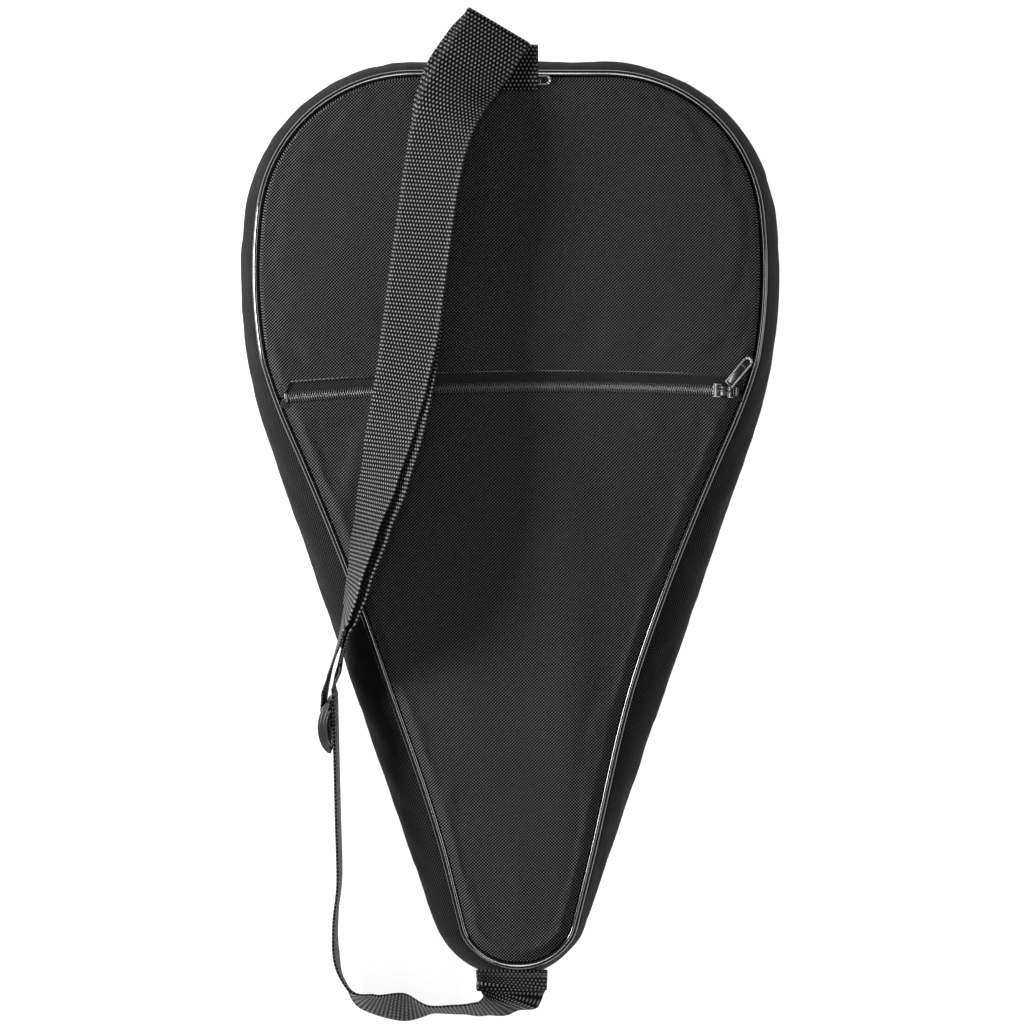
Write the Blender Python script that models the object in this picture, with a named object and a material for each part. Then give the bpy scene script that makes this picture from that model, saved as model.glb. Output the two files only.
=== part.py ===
"""Paddle case: a flat-bottomed soft case with a zipped head cover, a zipped front pocket and a webbing strap.

Metres, +Z up. The case lies on its back panel. +X is the wearer's right, +Y runs from the tip to the head.
The origin is on the floor, at the middle of the whole object's box.
"""

import math

import bmesh
import bpy
from mathutils import Matrix, Vector

MM = 0.001
GAP = 0.3 * MM

# Back outline: a flat top, a round head shoulder, a slack flank, a straight side and a round tip.
TOP_Y = 249.3 * MM
TOP_HALF_FLAT = 50.5 * MM
HEAD_RADIUS, HEAD_SWEEP = 94 * MM, math.radians(83.3)
FLANK_RADIUS, FLANK_SWEEP = 278 * MM, math.radians(25.7)
SIDE_LENGTH = 275 * MM

# The front edge is smaller than the back one: the side wall leans in, most of all below the waist.
HEAD_LEAN = 9 * MM
WAIST_LEAN = 9.5 * MM
WAIST_Y, WAIST_REACH = -70 * MM, 155 * MM
TIP_SWAY = 4.5 * MM
SWAY_FROM_Y, SWAY_TO_Y = -80 * MM, -190 * MM

# Heights of the layers
BACK_FABRIC = (0.0, 1.2 * MM)
BACK_FOAM = (1.5 * MM, 5.0 * MM)
BACK_LINING = (5.3 * MM, 6.1 * MM)
WALL = (4.2 * MM, 40.0 * MM)
WALL_THICK = 1.4 * MM
PIPING_RADIUS = 1.9 * MM
BACK_PIPING_Z = 2.1 * MM
FRONT_PIPING_Z = 42.2 * MM
FRONT_FABRIC = (45.3 * MM, 46.5 * MM)
HEAD_FOAM = (42.8 * MM, 45.0 * MM)
HEAD_LINING = (40.7 * MM, 41.6 * MM)
POCKET_WALL = (38.0 * MM, 39.2 * MM)
LOWER_FOAM = (34.5 * MM, 37.7 * MM)
LOWER_LINING = (33.4 * MM, 34.2 * MM)

# How far each layer's edge lies inside the back edge or the front edge
BACK_INSETS = {"back_panel": 4.1 * MM, "back_padding": 4.8 * MM, "back_lining": 5.2 * MM}
HEAD_INSETS = {"head_panel": 9.1 * MM, "head_padding": 9.3 * MM, "head_lining": 8.0 * MM}
FRONT_INSET, INNER_INSET = 3.0 * MM, 1.9 * MM

# The head cover turns about a line across the case, above the pocket zip.
HINGE_Y = 87 * MM
HINGE_CLEAR = 0.6 * MM
STRAP_SPLIT = 8.2 * MM

# Pocket zip: an arc across the front
ZIP_APEX = Vector((24 * MM, 72.1 * MM))
ZIP_RADIUS = 1690 * MM
ZIP_CENTRE = ZIP_APEX - Vector((0, ZIP_RADIUS))
ZIP_ENDS_X = (-117 * MM, 118.6 * MM)
ROW_WIDTH, ROW_GAP = 2.35 * MM, 1.1 * MM
ROW_Z = (45.6 * MM, 47.6 * MM)
TAPE_REACH = {"upper": 7.3 * MM, "lower": 4.4 * MM}
TAPE_THICK = 0.7 * MM
ZIP_HALF_SPAN = 132 * MM
STOP_SIZE_MM = (1.8, 5.4, 2.2)
STOP_OFFSET, STOP_Z = 1.3 * MM, 46.8 * MM
POCKET_SLIDER_X = 112.8 * MM
POCKET_SLIDER_Z = 47.9 * MM
POCKET_PULL_TURN = math.radians(50)

# Main zip: round the head in the groove inside the front piping
GROOVE = 3.95 * MM
MAIN_ROW_WIDTH = 1.7 * MM
MAIN_ROW_Z = (42.8 * MM, 45.0 * MM)
MAIN_TAPE_Z = (41.9 * MM, 42.5 * MM)
MAIN_TAPE_INSET = 18 * MM
MAIN_TAPE_LAP = 0.6 * MM
MAIN_SLIDER_Z = 45.3 * MM
MAIN_SLIDER_X = {"right": -0.8 * MM, "left": -16.5 * MM}

# Pull tab: the eye bar's height above its slider's underside
PULL_RISE = 2.05 * MM
PULL_TILT = math.radians(3)

# Strap: 38 mm webbing
WEB_WIDTH, WEB_THICK = 38 * MM, 1.4 * MM
# Strap from its top fold down to the adjuster: the front layer's middle (x, y, z) and its roll, left edge
# down, then how far the rear layer lies to its right and below it
STRAP_STATIONS = [
    (-6.3, 260.8, 54.4, 0, 0, 2.4),
    (-13.9, 248.1, 54.8, 2, -3, 2.4),
    (-22.6, 235.0, 55.6, 8, -4, 2.4),
    (-30.4, 221.0, 59.0, 19, -3, 2.4),
    (-35.6, 206.0, 61.8, 29, -2, 2.4),
    (-39.8, 188.0, 64.0, 34, -1.5, 2.4),
    (-43.0, 168.0, 64.2, 36, -1.5, 2.4),
    (-47.8, 133.2, 64.2, 35, -1.5, 2.4),
    (-52.0, 101.6, 63.8, 35, -0.5, 2.4),
    (-56.6, 75.3, 63.2, 40, 2.2, 2.4),
    (-62.5, 48.9, 64.0, 46, 4.4, 2.6),
    (-68.5, 22.6, 65.5, 56, 5.0, 3.6),
    (-75.4, -3.8, 66.0, 67, 3.5, 5.0),
    (-81.3, -30.1, 66.0, 76, 1.5, 4.6),
    (-84.9, -45.0, 63.5, 79, 0.5, 3.6),
    (-87.2, -52.0, 60.0, 83, 0, 3.0),
    (-91.6, -67.0, 47.5, 87, 0, 3.6),
    (-95.4, -78.0, 37.6, 88, 0, 4.8),
    (-98.4, -88.0, 32.6, 90, 0, 5.4),
]

# Strap adjuster, standing on its edge beside the case; it runs along a straight stretch of webbing
RUN_TOP = Vector((-93.2 * MM, -107 * MM, 30.2 * MM))
RUN_DIRECTION = Vector((1.7, -80, -3.6)).normalized()
RUN_LEFT = Vector((RUN_DIRECTION.y, -RUN_DIRECTION.x, 0)).normalized()
RUN_UP = RUN_LEFT.cross(RUN_DIRECTION)
# distance along the run in millimetres, and the webbing's roll there
RUN_STATIONS = [(-22, 87), (-15, 90), (-5, 90), (20, 90), (50, 90), (84, 90)]
RUN_JOINS_Y = -70 * MM
ADJUSTER_LENGTH, ADJUSTER_HEIGHT = 27 * MM, 49.5 * MM
BAR_RADIUS = 1.2 * MM
RAIL_THICK = 3.4 * MM
RAIL_BOW = 8.2 * MM
RAIL_HOLLOW = 0.9 * MM
RAIL_FOOT = 2.4 * MM
RUN_CLEAR = 0.5 * MM
LOOP_LEG = 9 * MM

# Lower run of the strap beyond the straight stretch, to the tip of the case
LOWER_RUN = [
    (-93.6, -212.0, 24.4, 90),
    (-93.4, -232.0, 22.6, 90),
    (-88.2, -248.6, 21.2, 84),
    (-76.0, -258.2, 19.8, 66),
    (-58.0, -261.0, 18.6, 58),
    (-41.0, -262.2, 19.6, 76),
    (-27.0, -262.0, 20.6, 74),
    (-15.5, -261.6, 21.2, 70),
    (-6.0, -258.6, 22.4, 58),
    (-0.5, -253.4, 25.2, 24),
    (1.0, -247.4, 28.8, 4),
]
ANCHOR_X, ANCHOR_WIDTH = 1.0 * MM, 36 * MM
ANCHOR_HEIGHTS = (39.0 * MM, 36.3 * MM, 33.6 * MM)

# Tab that holds the strap to the head cover: its profile as (y, z)
TAB_X = -4 * MM
TAB_THICK = 1.2 * MM
TAB_PROFILE = [
    (229.0, 47.5),
    (230.6, 49.0),
    (233.5, 50.1),
    (238.5, 50.3),
    (244.5, 49.6),
    (249.5, 48.6),
    (252.6, 46.6),
    (252.6, 44.2),
    (250.0, 43.0),
]

# How much of a slope webbing on its edge takes up by shearing, from this roll to a quarter turn
UPRIGHT = 0.75
UPRIGHT_FROM = 70
STEPS = 3


def clear_scene():
    for obj in list(bpy.data.objects):
        bpy.data.objects.remove(obj, do_unlink=True)


def material(name, colour, roughness, metallic=0.0):
    mat = bpy.data.materials.get(name) or bpy.data.materials.new(name)
    mat.use_nodes = True
    shader = mat.node_tree.nodes["Principled BSDF"]
    shader.inputs["Base Color"].default_value = (*colour, 1)
    shader.inputs["Roughness"].default_value = roughness
    shader.inputs["Metallic"].default_value = metallic
    mat.diffuse_color = (*colour, 1)
    return mat


def fabric():
    return material("shell_fabric", (0.018, 0.018, 0.019), 0.75)


def foam():
    return material("padding_foam", (0.55, 0.55, 0.54), 0.9)


def lining():
    return material("lining_fabric", (0.03, 0.03, 0.032), 0.8)


def piping_vinyl():
    return material("piping_vinyl", (0.012, 0.012, 0.012), 0.25)


def zip_tape():
    return material("zip_tape", (0.014, 0.014, 0.015), 0.8)


def zip_coil():
    return material("zip_coil", (0.02, 0.02, 0.021), 0.4)


def black_metal():
    return material("zip_metal", (0.03, 0.03, 0.032), 0.28, 0.9)


def webbing():
    return material("webbing", (0.02, 0.02, 0.021), 0.7)


def black_plastic():
    return material("adjuster_plastic", (0.015, 0.015, 0.016), 0.4)


def add_object(name, mesh, mat, smooth=False):
    if not mesh.materials:
        mesh.materials.append(mat)
    obj = bpy.data.objects.new(name, mesh)
    bpy.context.scene.collection.objects.link(obj)
    if smooth:
        mesh.shade_smooth()
        mesh.set_sharp_from_angle(angle=math.radians(40))
    return obj


def loft(name, sections, mat, closed=False, smooth=False, twisted=False):
    """A solid through sections, each a loop of as many points. An open one gets end caps.

    In a twisted one the two halves of each section's loop are split along matching diagonals, so that a thin
    strip keeps its thickness.
    """
    mesh = bpy.data.meshes.new(name)
    bm = bmesh.new()
    rings = [[bm.verts.new(p) for p in section] for section in sections]
    pairs = list(zip(rings, rings[1:]))
    if closed:
        pairs.append((rings[-1], rings[0]))
    for first, second in pairs:
        for i in range(len(first)):
            j = (i + 1) % len(first)
            if not twisted:
                bm.faces.new((first[i], first[j], second[j], second[i]))
            elif i < len(first) / 2:
                bm.faces.new((first[i], first[j], second[j]))
                bm.faces.new((first[i], second[j], second[i]))
            else:
                bm.faces.new((first[i], first[j], second[i]))
                bm.faces.new((first[j], second[j], second[i]))
    if not closed:
        bm.faces.new(rings[0])
        bm.faces.new(rings[-1])
    bmesh.ops.recalc_face_normals(bm, faces=bm.faces)
    bm.to_mesh(mesh)
    bm.free()
    return add_object(name, mesh, mat, smooth)


def plate(name, outline, heights, mat):
    """A flat sheet of the given outline between two heights."""
    low, high = heights
    mesh = bpy.data.meshes.new(name)
    bm = bmesh.new()
    face = bm.faces.new([bm.verts.new((x, y, low)) for x, y in outline])
    top = bmesh.ops.extrude_face_region(bm, geom=[face])["geom"]
    moved = [v for v in top if isinstance(v, bmesh.types.BMVert)]
    bmesh.ops.translate(bm, verts=moved, vec=(0, 0, high - low))
    bmesh.ops.triangulate(bm, faces=bm.faces)
    bmesh.ops.recalc_face_normals(bm, faces=bm.faces)
    bm.to_mesh(mesh)
    bm.free()
    return add_object(name, mesh, mat)


def smoothstep(a, b, x):
    t = min(max((x - a) / (b - a), 0), 1)
    return t * t * (3 - 2 * t)


def right_side():
    """Points and outward normals of the back outline's right half, from the top down."""
    points = []

    def arc(centre, radius, start, sweep, steps):
        for i in range(steps):
            angle = start - sweep * i / steps
            normal = Vector((math.cos(angle), math.sin(angle)))
            points.append((centre + normal * radius, normal))

    up = Vector((0, 1))
    points += [(Vector((TOP_HALF_FLAT * i / 3, TOP_Y)), up) for i in range(3)]
    head = Vector((TOP_HALF_FLAT, TOP_Y - HEAD_RADIUS))
    arc(head, HEAD_RADIUS, math.pi / 2, HEAD_SWEEP, 12)
    turn = math.pi / 2 - HEAD_SWEEP
    out = Vector((math.cos(turn), math.sin(turn)))
    flank = head + out * (HEAD_RADIUS - FLANK_RADIUS)
    arc(flank, FLANK_RADIUS, turn, FLANK_SWEEP, 5)
    turn -= FLANK_SWEEP
    out = Vector((math.cos(turn), math.sin(turn)))
    along = Vector((out.y, -out.x))
    start = flank + out * FLANK_RADIUS
    side_steps = 10
    points += [(start + along * (SIDE_LENGTH * i / side_steps), out) for i in range(side_steps)]
    foot = start + along * SIDE_LENGTH
    tip_radius = foot.x / out.x
    tip = Vector((0, foot.y - out.y * tip_radius))
    arc(tip, tip_radius, turn, turn + math.pi / 2, 5)
    points.append((tip - up * tip_radius, -up))
    return points


def whole_outline():
    """The closed back outline, clockwise from the top centre, as points and outward normals."""
    right = right_side()
    left = [(Vector((-p.x, p.y)), Vector((-n.x, n.y))) for p, n in right[1:-1]]
    return right + left[::-1]


OUTLINE = whole_outline()


def lean(y):
    """How far the front edge lies inside the back one at this height along the case."""
    reach = (y - WAIST_Y) / WAIST_REACH
    waist = math.cos(math.pi / 2 * reach) if abs(reach) < 1 else 0
    return HEAD_LEAN + WAIST_LEAN * waist


def on_wall(index, share, inset=0.0):
    """A point of the leaning side wall: share 0 at the back edge, 1 at the front edge."""
    point, normal = OUTLINE[index]
    sway = TIP_SWAY * smoothstep(SWAY_FROM_Y, SWAY_TO_Y, point.y)
    return point - normal * (lean(point.y) * share + inset) + Vector((sway * share, 0))


def edge(share, inset):
    return [on_wall(i, share, inset) for i in range(len(OUTLINE))]


def cut(outline, keep, boundary):
    """The outline's part where keep(point) is positive, closed along boundary, which runs left to right."""
    kept = []
    for i, point in enumerate(outline):
        following = outline[(i + 1) % len(outline)]
        a, b = keep(point), keep(following)
        if a > 0:
            kept.append(point)
        if a * b < 0:
            kept.append(point.lerp(following, a / (a - b)))
            if a > 0:
                crossing = len(kept)
    line = boundary if kept[crossing - 1].x < 0 else boundary[::-1]
    low, high = sorted((kept[crossing - 1].x, kept[crossing % len(kept)].x))
    inner = [p for p in line if low + MM < p.x < high - MM]
    return kept[:crossing] + inner + kept[crossing:]


def zip_line(offset):
    """Points along the pocket zip's arc, moved up the case by offset, from left to right."""
    radius = ZIP_RADIUS + offset
    steps = 14
    reach = ZIP_HALF_SPAN / ZIP_RADIUS
    angles = [math.pi / 2 + reach * (1 - 2 * i / steps) for i in range(steps + 1)]
    return [ZIP_CENTRE + Vector((math.cos(a), math.sin(a))) * radius for a in angles]


def below_zip(offset):
    return lambda p: ZIP_RADIUS + offset - (p - ZIP_CENTRE).length


def above_zip(offset):
    return lambda p: (p - ZIP_CENTRE).length - ZIP_RADIUS - offset


def above_hinge(clear):
    return lambda p: p.y - HINGE_Y - clear


def below_hinge(clear):
    return lambda p: HINGE_Y - clear - p.y


def hinge_line(clear):
    return [Vector((x * MM, HINGE_Y + clear)) for x in range(-120, 121, 40)]


def tube(name, share, inset, height, radius, mat, sides=7):
    """A closed cord of piping round the case."""
    count = len(OUTLINE)
    sections = []
    for i in range(count):
        centre = on_wall(i, share, inset)
        out = OUTLINE[i][1]
        ring = []
        for k in range(sides):
            angle = 2 * math.pi * k / sides
            spot = centre + out * (radius * math.cos(angle))
            ring.append((spot.x, spot.y, height + radius * math.sin(angle)))
        sections.append(ring)
    return loft(name, sections, mat, closed=True, smooth=True)


def back_parts():
    layers = (
        ("back_panel", BACK_FABRIC, fabric()),
        ("back_padding", BACK_FOAM, foam()),
        ("back_lining", BACK_LINING, lining()),
    )
    for name, heights, mat in layers:
        plate(name, edge(0, BACK_INSETS[name]), heights, mat)
    tube("back_piping", 0, PIPING_RADIUS, BACK_PIPING_Z, PIPING_RADIUS, piping_vinyl())


def side_wall():
    levels = [0, 0.5, 1]
    sections = []
    for i in range(len(OUTLINE)):
        outer = [(on_wall(i, s * s, 0), WALL[0] + (WALL[1] - WALL[0]) * s) for s in levels]
        inner = [(on_wall(i, s * s, WALL_THICK), z) for s, (_, z) in zip(levels, outer)]
        sections.append([(p.x, p.y, z) for p, z in outer + inner[::-1]])
    loft("gusset", sections, fabric(), closed=True, smooth=True)
    tube("front_piping", 1, PIPING_RADIUS, FRONT_PIPING_Z, PIPING_RADIUS, piping_vinyl())


def head_cover():
    """The part of the front that turns up: fabric, foam and lining."""
    layers = (
        ("head_panel", FRONT_FABRIC, fabric()),
        ("head_padding", HEAD_FOAM, foam()),
        ("head_lining", HEAD_LINING, lining()),
    )
    for name, heights, mat in layers:
        outline = cut(edge(1, HEAD_INSETS[name]), above_hinge(HINGE_CLEAR), hinge_line(HINGE_CLEAR))
        plate(name, outline, heights, mat)


def lower_front():
    """The fixed part of the front: pocket fabric, the pocket's inner wall, foam and lining, and the welt."""
    outer = edge(1, FRONT_INSET)
    fabric_edge = -(TAPE_REACH["lower"] + GAP)
    below = cut(outer, below_zip(fabric_edge), zip_line(fabric_edge))
    plate("pocket_panel", below, FRONT_FABRIC, fabric())
    inner = edge(1, INNER_INSET)
    for name, heights, mat in (
        ("pocket_inner_wall", POCKET_WALL, fabric()),
        ("lower_front_padding", LOWER_FOAM, foam()),
        ("lower_front_lining", LOWER_LINING, lining()),
    ):
        outline = cut(inner, below_hinge(HINGE_CLEAR), hinge_line(-HINGE_CLEAR))
        plate(name, outline, heights, mat)
    fabric_edge = TAPE_REACH["upper"] + GAP
    band = cut(outer, below_hinge(HINGE_CLEAR), hinge_line(-HINGE_CLEAR))
    band = cut(band, above_zip(fabric_edge), zip_line(fabric_edge))
    plate("pocket_welt", band, FRONT_FABRIC, fabric())


def zip_strip(name, near, far, heights, mat):
    """A strip along the pocket zip between two offsets from its middle line."""
    first, last = ZIP_ENDS_X
    steps = 16
    sections = []
    for i in range(steps + 1):
        x = first + (last - first) * i / steps
        angle = math.acos((x - ZIP_CENTRE.x) / ZIP_RADIUS)
        out = Vector((math.cos(angle), math.sin(angle)))
        a, b = (ZIP_CENTRE + out * (ZIP_RADIUS + r) for r in (near, far))
        low, high = heights
        sections.append([(a.x, a.y, low), (b.x, b.y, low), (b.x, b.y, high), (a.x, a.y, high)])
    loft(name, sections, mat)


def pocket_zip():
    near, far = ROW_GAP / 2, ROW_GAP / 2 + ROW_WIDTH
    tape = (FRONT_FABRIC[0], FRONT_FABRIC[0] + TAPE_THICK)
    for name, sign in (("upper", 1), ("lower", -1)):
        zip_strip(f"pocket_zip_row_{name}", sign * near, sign * far, ROW_Z, zip_coil())
        reach = sign * TAPE_REACH[name]
        zip_strip(f"pocket_zip_tape_{name}", sign * (far + GAP), reach, tape, zip_tape())
    for name, x in (("left", ZIP_ENDS_X[0] - STOP_OFFSET), ("right", ZIP_ENDS_X[1] + STOP_OFFSET)):
        middle = zip_place(x)
        stop = box(f"pocket_zip_stop_{name}", STOP_SIZE_MM, black_metal())
        stop.location = (middle.x, middle.y, STOP_Z)
        stop.rotation_euler.z = zip_turn(x)


def zip_place(x):
    angle = math.acos((x - ZIP_CENTRE.x) / ZIP_RADIUS)
    return ZIP_CENTRE + Vector((math.cos(angle), math.sin(angle))) * ZIP_RADIUS


def zip_turn(x):
    return math.acos((x - ZIP_CENTRE.x) / ZIP_RADIUS) - math.pi / 2


def head_strip(name, near, far, heights, mat):
    """A strip of the main zip round the head, between two insets from the front edge."""
    count = len(OUTLINE)
    half = count // 2
    order = [i % count for i in range(-half, half)]
    indices = [i for i in order if on_wall(i, 1, far).y > HINGE_Y + MM]
    low, high = heights
    sections = []
    for i in indices:
        a, b = on_wall(i, 1, near), on_wall(i, 1, far)
        sections.append([(a.x, a.y, low), (b.x, b.y, low), (b.x, b.y, high), (a.x, a.y, high)])
    loft(name, sections, mat)


def main_zip():
    outer = (GROOVE, GROOVE + MAIN_ROW_WIDTH)
    inner = (outer[1] + ROW_GAP, outer[1] + ROW_GAP + MAIN_ROW_WIDTH)
    head_strip("main_zip_row_outer", *outer, MAIN_ROW_Z, zip_coil())
    head_strip("main_zip_row_inner", *inner, MAIN_ROW_Z, zip_coil())
    head_strip("main_zip_tape_outer", GROOVE, outer[1] + MAIN_TAPE_LAP, MAIN_TAPE_Z, zip_tape())
    head_strip("main_zip_tape_inner", inner[0] + GAP, MAIN_TAPE_INSET, MAIN_TAPE_Z, zip_tape())


def box(name, size_mm, mat):
    mesh = bpy.data.meshes.new(name)
    bm = bmesh.new()
    bmesh.ops.create_cube(bm, size=1)
    bmesh.ops.scale(bm, vec=[s * MM for s in size_mm], verts=bm.verts)
    bm.to_mesh(mesh)
    bm.free()
    return add_object(name, mesh, mat)


def joined(name, parts, mat, cutters=()):
    """The union of simple pieces less the cutters. Each piece is (kind, matrix, size in millimetres)."""

    def build(pieces):
        made = []
        for kind, matrix, size in pieces:
            mesh = bpy.data.meshes.new(f"{name}_piece")
            bm = bmesh.new()
            if kind == "box":
                bmesh.ops.create_cube(bm, size=1)
                bmesh.ops.scale(bm, vec=[s * MM for s in size], verts=bm.verts)
            elif kind == "prism":
                outline, depth = size
                floor = [bm.verts.new((x * MM, y * MM, -depth / 2 * MM)) for x, y in outline]
                face = bm.faces.new(floor)
                raised = bmesh.ops.extrude_face_region(bm, geom=[face])["geom"]
                lifted = [v for v in raised if isinstance(v, bmesh.types.BMVert)]
                bmesh.ops.translate(bm, vec=(0, 0, depth * MM), verts=lifted)
                bmesh.ops.recalc_face_normals(bm, faces=bm.faces)
            else:
                radius, depth = size
                bmesh.ops.create_cone(
                    bm,
                    cap_ends=True,
                    segments=12,
                    radius1=radius * MM,
                    radius2=radius * MM,
                    depth=depth * MM,
                )
            bmesh.ops.transform(bm, matrix=matrix, verts=bm.verts)
            bm.to_mesh(mesh)
            bm.free()
            made.append(bpy.data.objects.new(f"{name}_piece", mesh))
        return made

    solids, holes = build(parts), build(cutters)
    base = solids[0]
    collection = bpy.context.scene.collection
    for obj in solids + holes:
        collection.objects.link(obj)
        obj.hide_render = True
    for other, operation in [(o, "UNION") for o in solids[1:]] + [(h, "DIFFERENCE") for h in holes]:
        modifier = base.modifiers.new(operation, "BOOLEAN")
        modifier.operation = operation
        modifier.object = other
        modifier.solver = "EXACT"
    bpy.context.view_layer.update()
    evaluated = base.evaluated_get(bpy.context.evaluated_depsgraph_get())
    mesh = bpy.data.meshes.new_from_object(evaluated)
    mesh.name = name
    for obj in solids + holes:
        bpy.data.objects.remove(obj, do_unlink=True)
    return add_object(name, mesh, mat, smooth=True)


def at(x, y, z, turn=None):
    place = Matrix.Translation((x * MM, y * MM, z * MM))
    return place @ turn if turn else place


ALONG_Y = Matrix.Rotation(math.pi / 2, 4, "X")


def slider(name, location, turn, plate_width, drop, under):
    """A zip slider: a waisted top plate, its lug arch, and the neck that runs between the rows."""
    parts = [
        ("box", at(0, 0, 0.5), (11.5, plate_width, 1.0)),
        ("box", at(3.2, 0, -drop / 2), (4.0, 0.5, drop + 0.6)),
        ("box", at(-2.0, 0, 1.9), (1.0, 1.0, 2.4)),
        ("box", at(2.0, 0, 1.9), (1.0, 1.0, 2.4)),
        ("box", at(0, 0, 3.1), (5.0, 1.0, 0.8)),
    ]
    if under:
        parts.append(("box", at(0, 0, -drop - 0.7), (10.5, plate_width - 0.4, 1.0)))
    waist = [
        ("cylinder", at(1.2, side * (plate_width / 2 + 5.4), 0.5), (6.2, 3.0)) for side in (1, -1)
    ]
    obj = joined(name, parts, black_metal(), waist)
    obj.location = location
    obj.rotation_euler.z = turn
    return obj


def pull(name, parent, turn, tilt):
    """A pull tab: an eye bar through the lug, two arms, two rails round a recess, and a hole at the end."""
    parts = [
        ("cylinder", at(0, 0, 0, ALONG_Y), (0.45, 6.2)),
        ("box", at(1.9, 2.75, 0), (4.6, 0.8, 1.0)),
        ("box", at(1.9, -2.75, 0), (4.6, 0.8, 1.0)),
        ("box", at(4.7, 0, 0), (1.6, 6.3, 1.1)),
        ("box", at(12.3, 0, 0), (15.8, 5.0, 0.8)),
        ("cylinder", at(20.2, 0, 0), (2.5, 1.3)),
        ("box", at(12.7, 2.1, 0), (15.4, 0.8, 1.3)),
        ("box", at(12.7, -2.1, 0), (15.4, 0.8, 1.3)),
    ]
    hole = [("box", at(18.7, 0, 0), (3.4, 2.4, 4.0))]
    obj = joined(name, parts, black_metal(), hole)
    obj.parent = parent
    obj.location = (0, 0, PULL_RISE)
    obj.rotation_euler = (0, tilt, turn)
    return obj


def sliders():
    place = zip_place(POCKET_SLIDER_X)
    turn = zip_turn(POCKET_SLIDER_X)
    body = slider("pocket_slider", (place.x, place.y, POCKET_SLIDER_Z), turn, 7.6, 2.4, under=True)
    pull("pocket_pull", body, POCKET_PULL_TURN - turn, PULL_TILT)
    middle = GROOVE + MAIN_ROW_WIDTH + ROW_GAP / 2
    y = TOP_Y - HEAD_LEAN - middle
    for side, x in MAIN_SLIDER_X.items():
        facing = 0 if side == "right" else math.pi
        body = slider(f"main_slider_{side}", (x, y, MAIN_SLIDER_Z), facing, 4.7, 2.2, under=False)
        pull(f"main_pull_{side}", body, 0, 0)


def spline(stations, steps=STEPS):
    """A smooth curve through stations of (x, y, z, roll, offset), with steps points to each stretch."""
    points = [Vector(s[:3]) for s in stations]
    extra = [s[3:] for s in stations]
    result = []
    last = len(points) - 1
    for i in range(last):
        before, a, b, after = (points[min(max(k, 0), last)] for k in (i - 1, i, i + 1, i + 2))
        for step in range(steps + (i == last - 1)):
            t = step / steps
            spot = 0.5 * (
                2 * a
                + (b - before) * t
                + (2 * before - 5 * a + 4 * b - after) * t * t
                + (3 * a - before - 3 * b + after) * t ** 3
            )
            ease = t * t * (3 - 2 * t)
            values = [u + (v - u) * ease for u, v in zip(extra[i], extra[i + 1])]
            result.append((spot, *values))
    return result


def framed(curve):
    """Middle, width direction and face normal at each point of a curve of (point, roll degrees, ...)."""
    frames = []
    for i, (spot, roll, *_) in enumerate(curve):
        ahead = curve[min(i + 1, len(curve) - 1)][0]
        behind = curve[max(i - 1, 0)][0]
        tangent = (ahead - behind).normalized()
        level = Vector((-tangent.y, tangent.x, 0)).normalized()
        # on its edge the webbing cannot bend within its own plane, so it stays nearly upright on a slope
        tangent.z *= 1 - UPRIGHT * min(max((roll - UPRIGHT_FROM) / (90 - UPRIGHT_FROM), 0), 1)
        rise = level.cross(tangent).normalized()
        if rise.z < 0:
            rise = -rise
        angle = math.radians(roll)
        width = level * math.cos(angle) + rise * math.sin(angle)
        normal = rise * math.cos(angle) - level * math.sin(angle)
        frames.append((spot, width, normal))
    return frames


def ribbon(name, frames, mat=None, width=WEB_WIDTH, thick=WEB_THICK):
    sections = []
    for spot, across, normal in frames:
        a, b = across * (width / 2), normal * (thick / 2)
        sections.append([spot - a - b, spot + a - b, spot + a + b, spot - a + b])
    return loft(name, sections, mat or webbing(), twisted=True)


def strap_curve():
    """Points down the strap, each with its roll and the rear layer's offset and gap."""
    stations = []
    for x, y, z, roll, offset, gap in STRAP_STATIONS:
        stations.append((x * MM, y * MM, z * MM, roll, offset * MM, gap * MM))
    return spline(stations)


def rear_frames():
    """The rear layer follows the front one and peeps out to its right. They part at the adjuster."""
    curve = strap_curve()
    frames = []
    for (spot, width, normal), (_, _, offset, gap) in zip(framed(curve), curve):
        frames.append((spot + width * offset - normal * gap, width, normal))
    return frames


def run_place(distance, across=0.0):
    """A point beside the adjuster's straight stretch: across is to the left of the webbing."""
    return RUN_TOP + RUN_DIRECTION * distance + RUN_LEFT * across


def top_loop():
    """Both layers from the hinge line up, joined by the fold over the top."""
    clear = STRAP_SPLIT
    front = [f for f in framed(strap_curve()) if f[0].y > HINGE_Y + clear]
    rear = [f for f in rear_frames() if f[0].y > HINGE_Y + clear]
    spot, width, normal = front[0]
    away = -(front[1][0] - spot).normalized()
    bend = (front[0][0] - rear[0][0]).length / 2
    centre = spot - normal * bend
    fold = []
    for k in range(1, 6):
        angle = math.pi * k / 6
        out = normal * math.cos(angle) + away * math.sin(angle)
        fold.append((centre + out * bend, width, out))
    under = [(s, w, -n) for s, w, n in rear]
    ribbon("strap_top_loop", front[::-1] + fold + under)


def top_tab():
    """The tab that holds the strap: sewn to the head panel, over the zip and the piping, and folded back."""
    frames = []
    points = [Vector((TAB_X, y * MM, z * MM)) for y, z in TAB_PROFILE]
    for i, spot in enumerate(points):
        ahead, behind = points[min(i + 1, len(points) - 1)], points[max(i - 1, 0)]
        tangent = (ahead - behind).normalized()
        across = Vector((1, 0, 0))
        frames.append((spot, across, across.cross(tangent)))
    ribbon("strap_top_tab", frames, thick=TAB_THICK)


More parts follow.
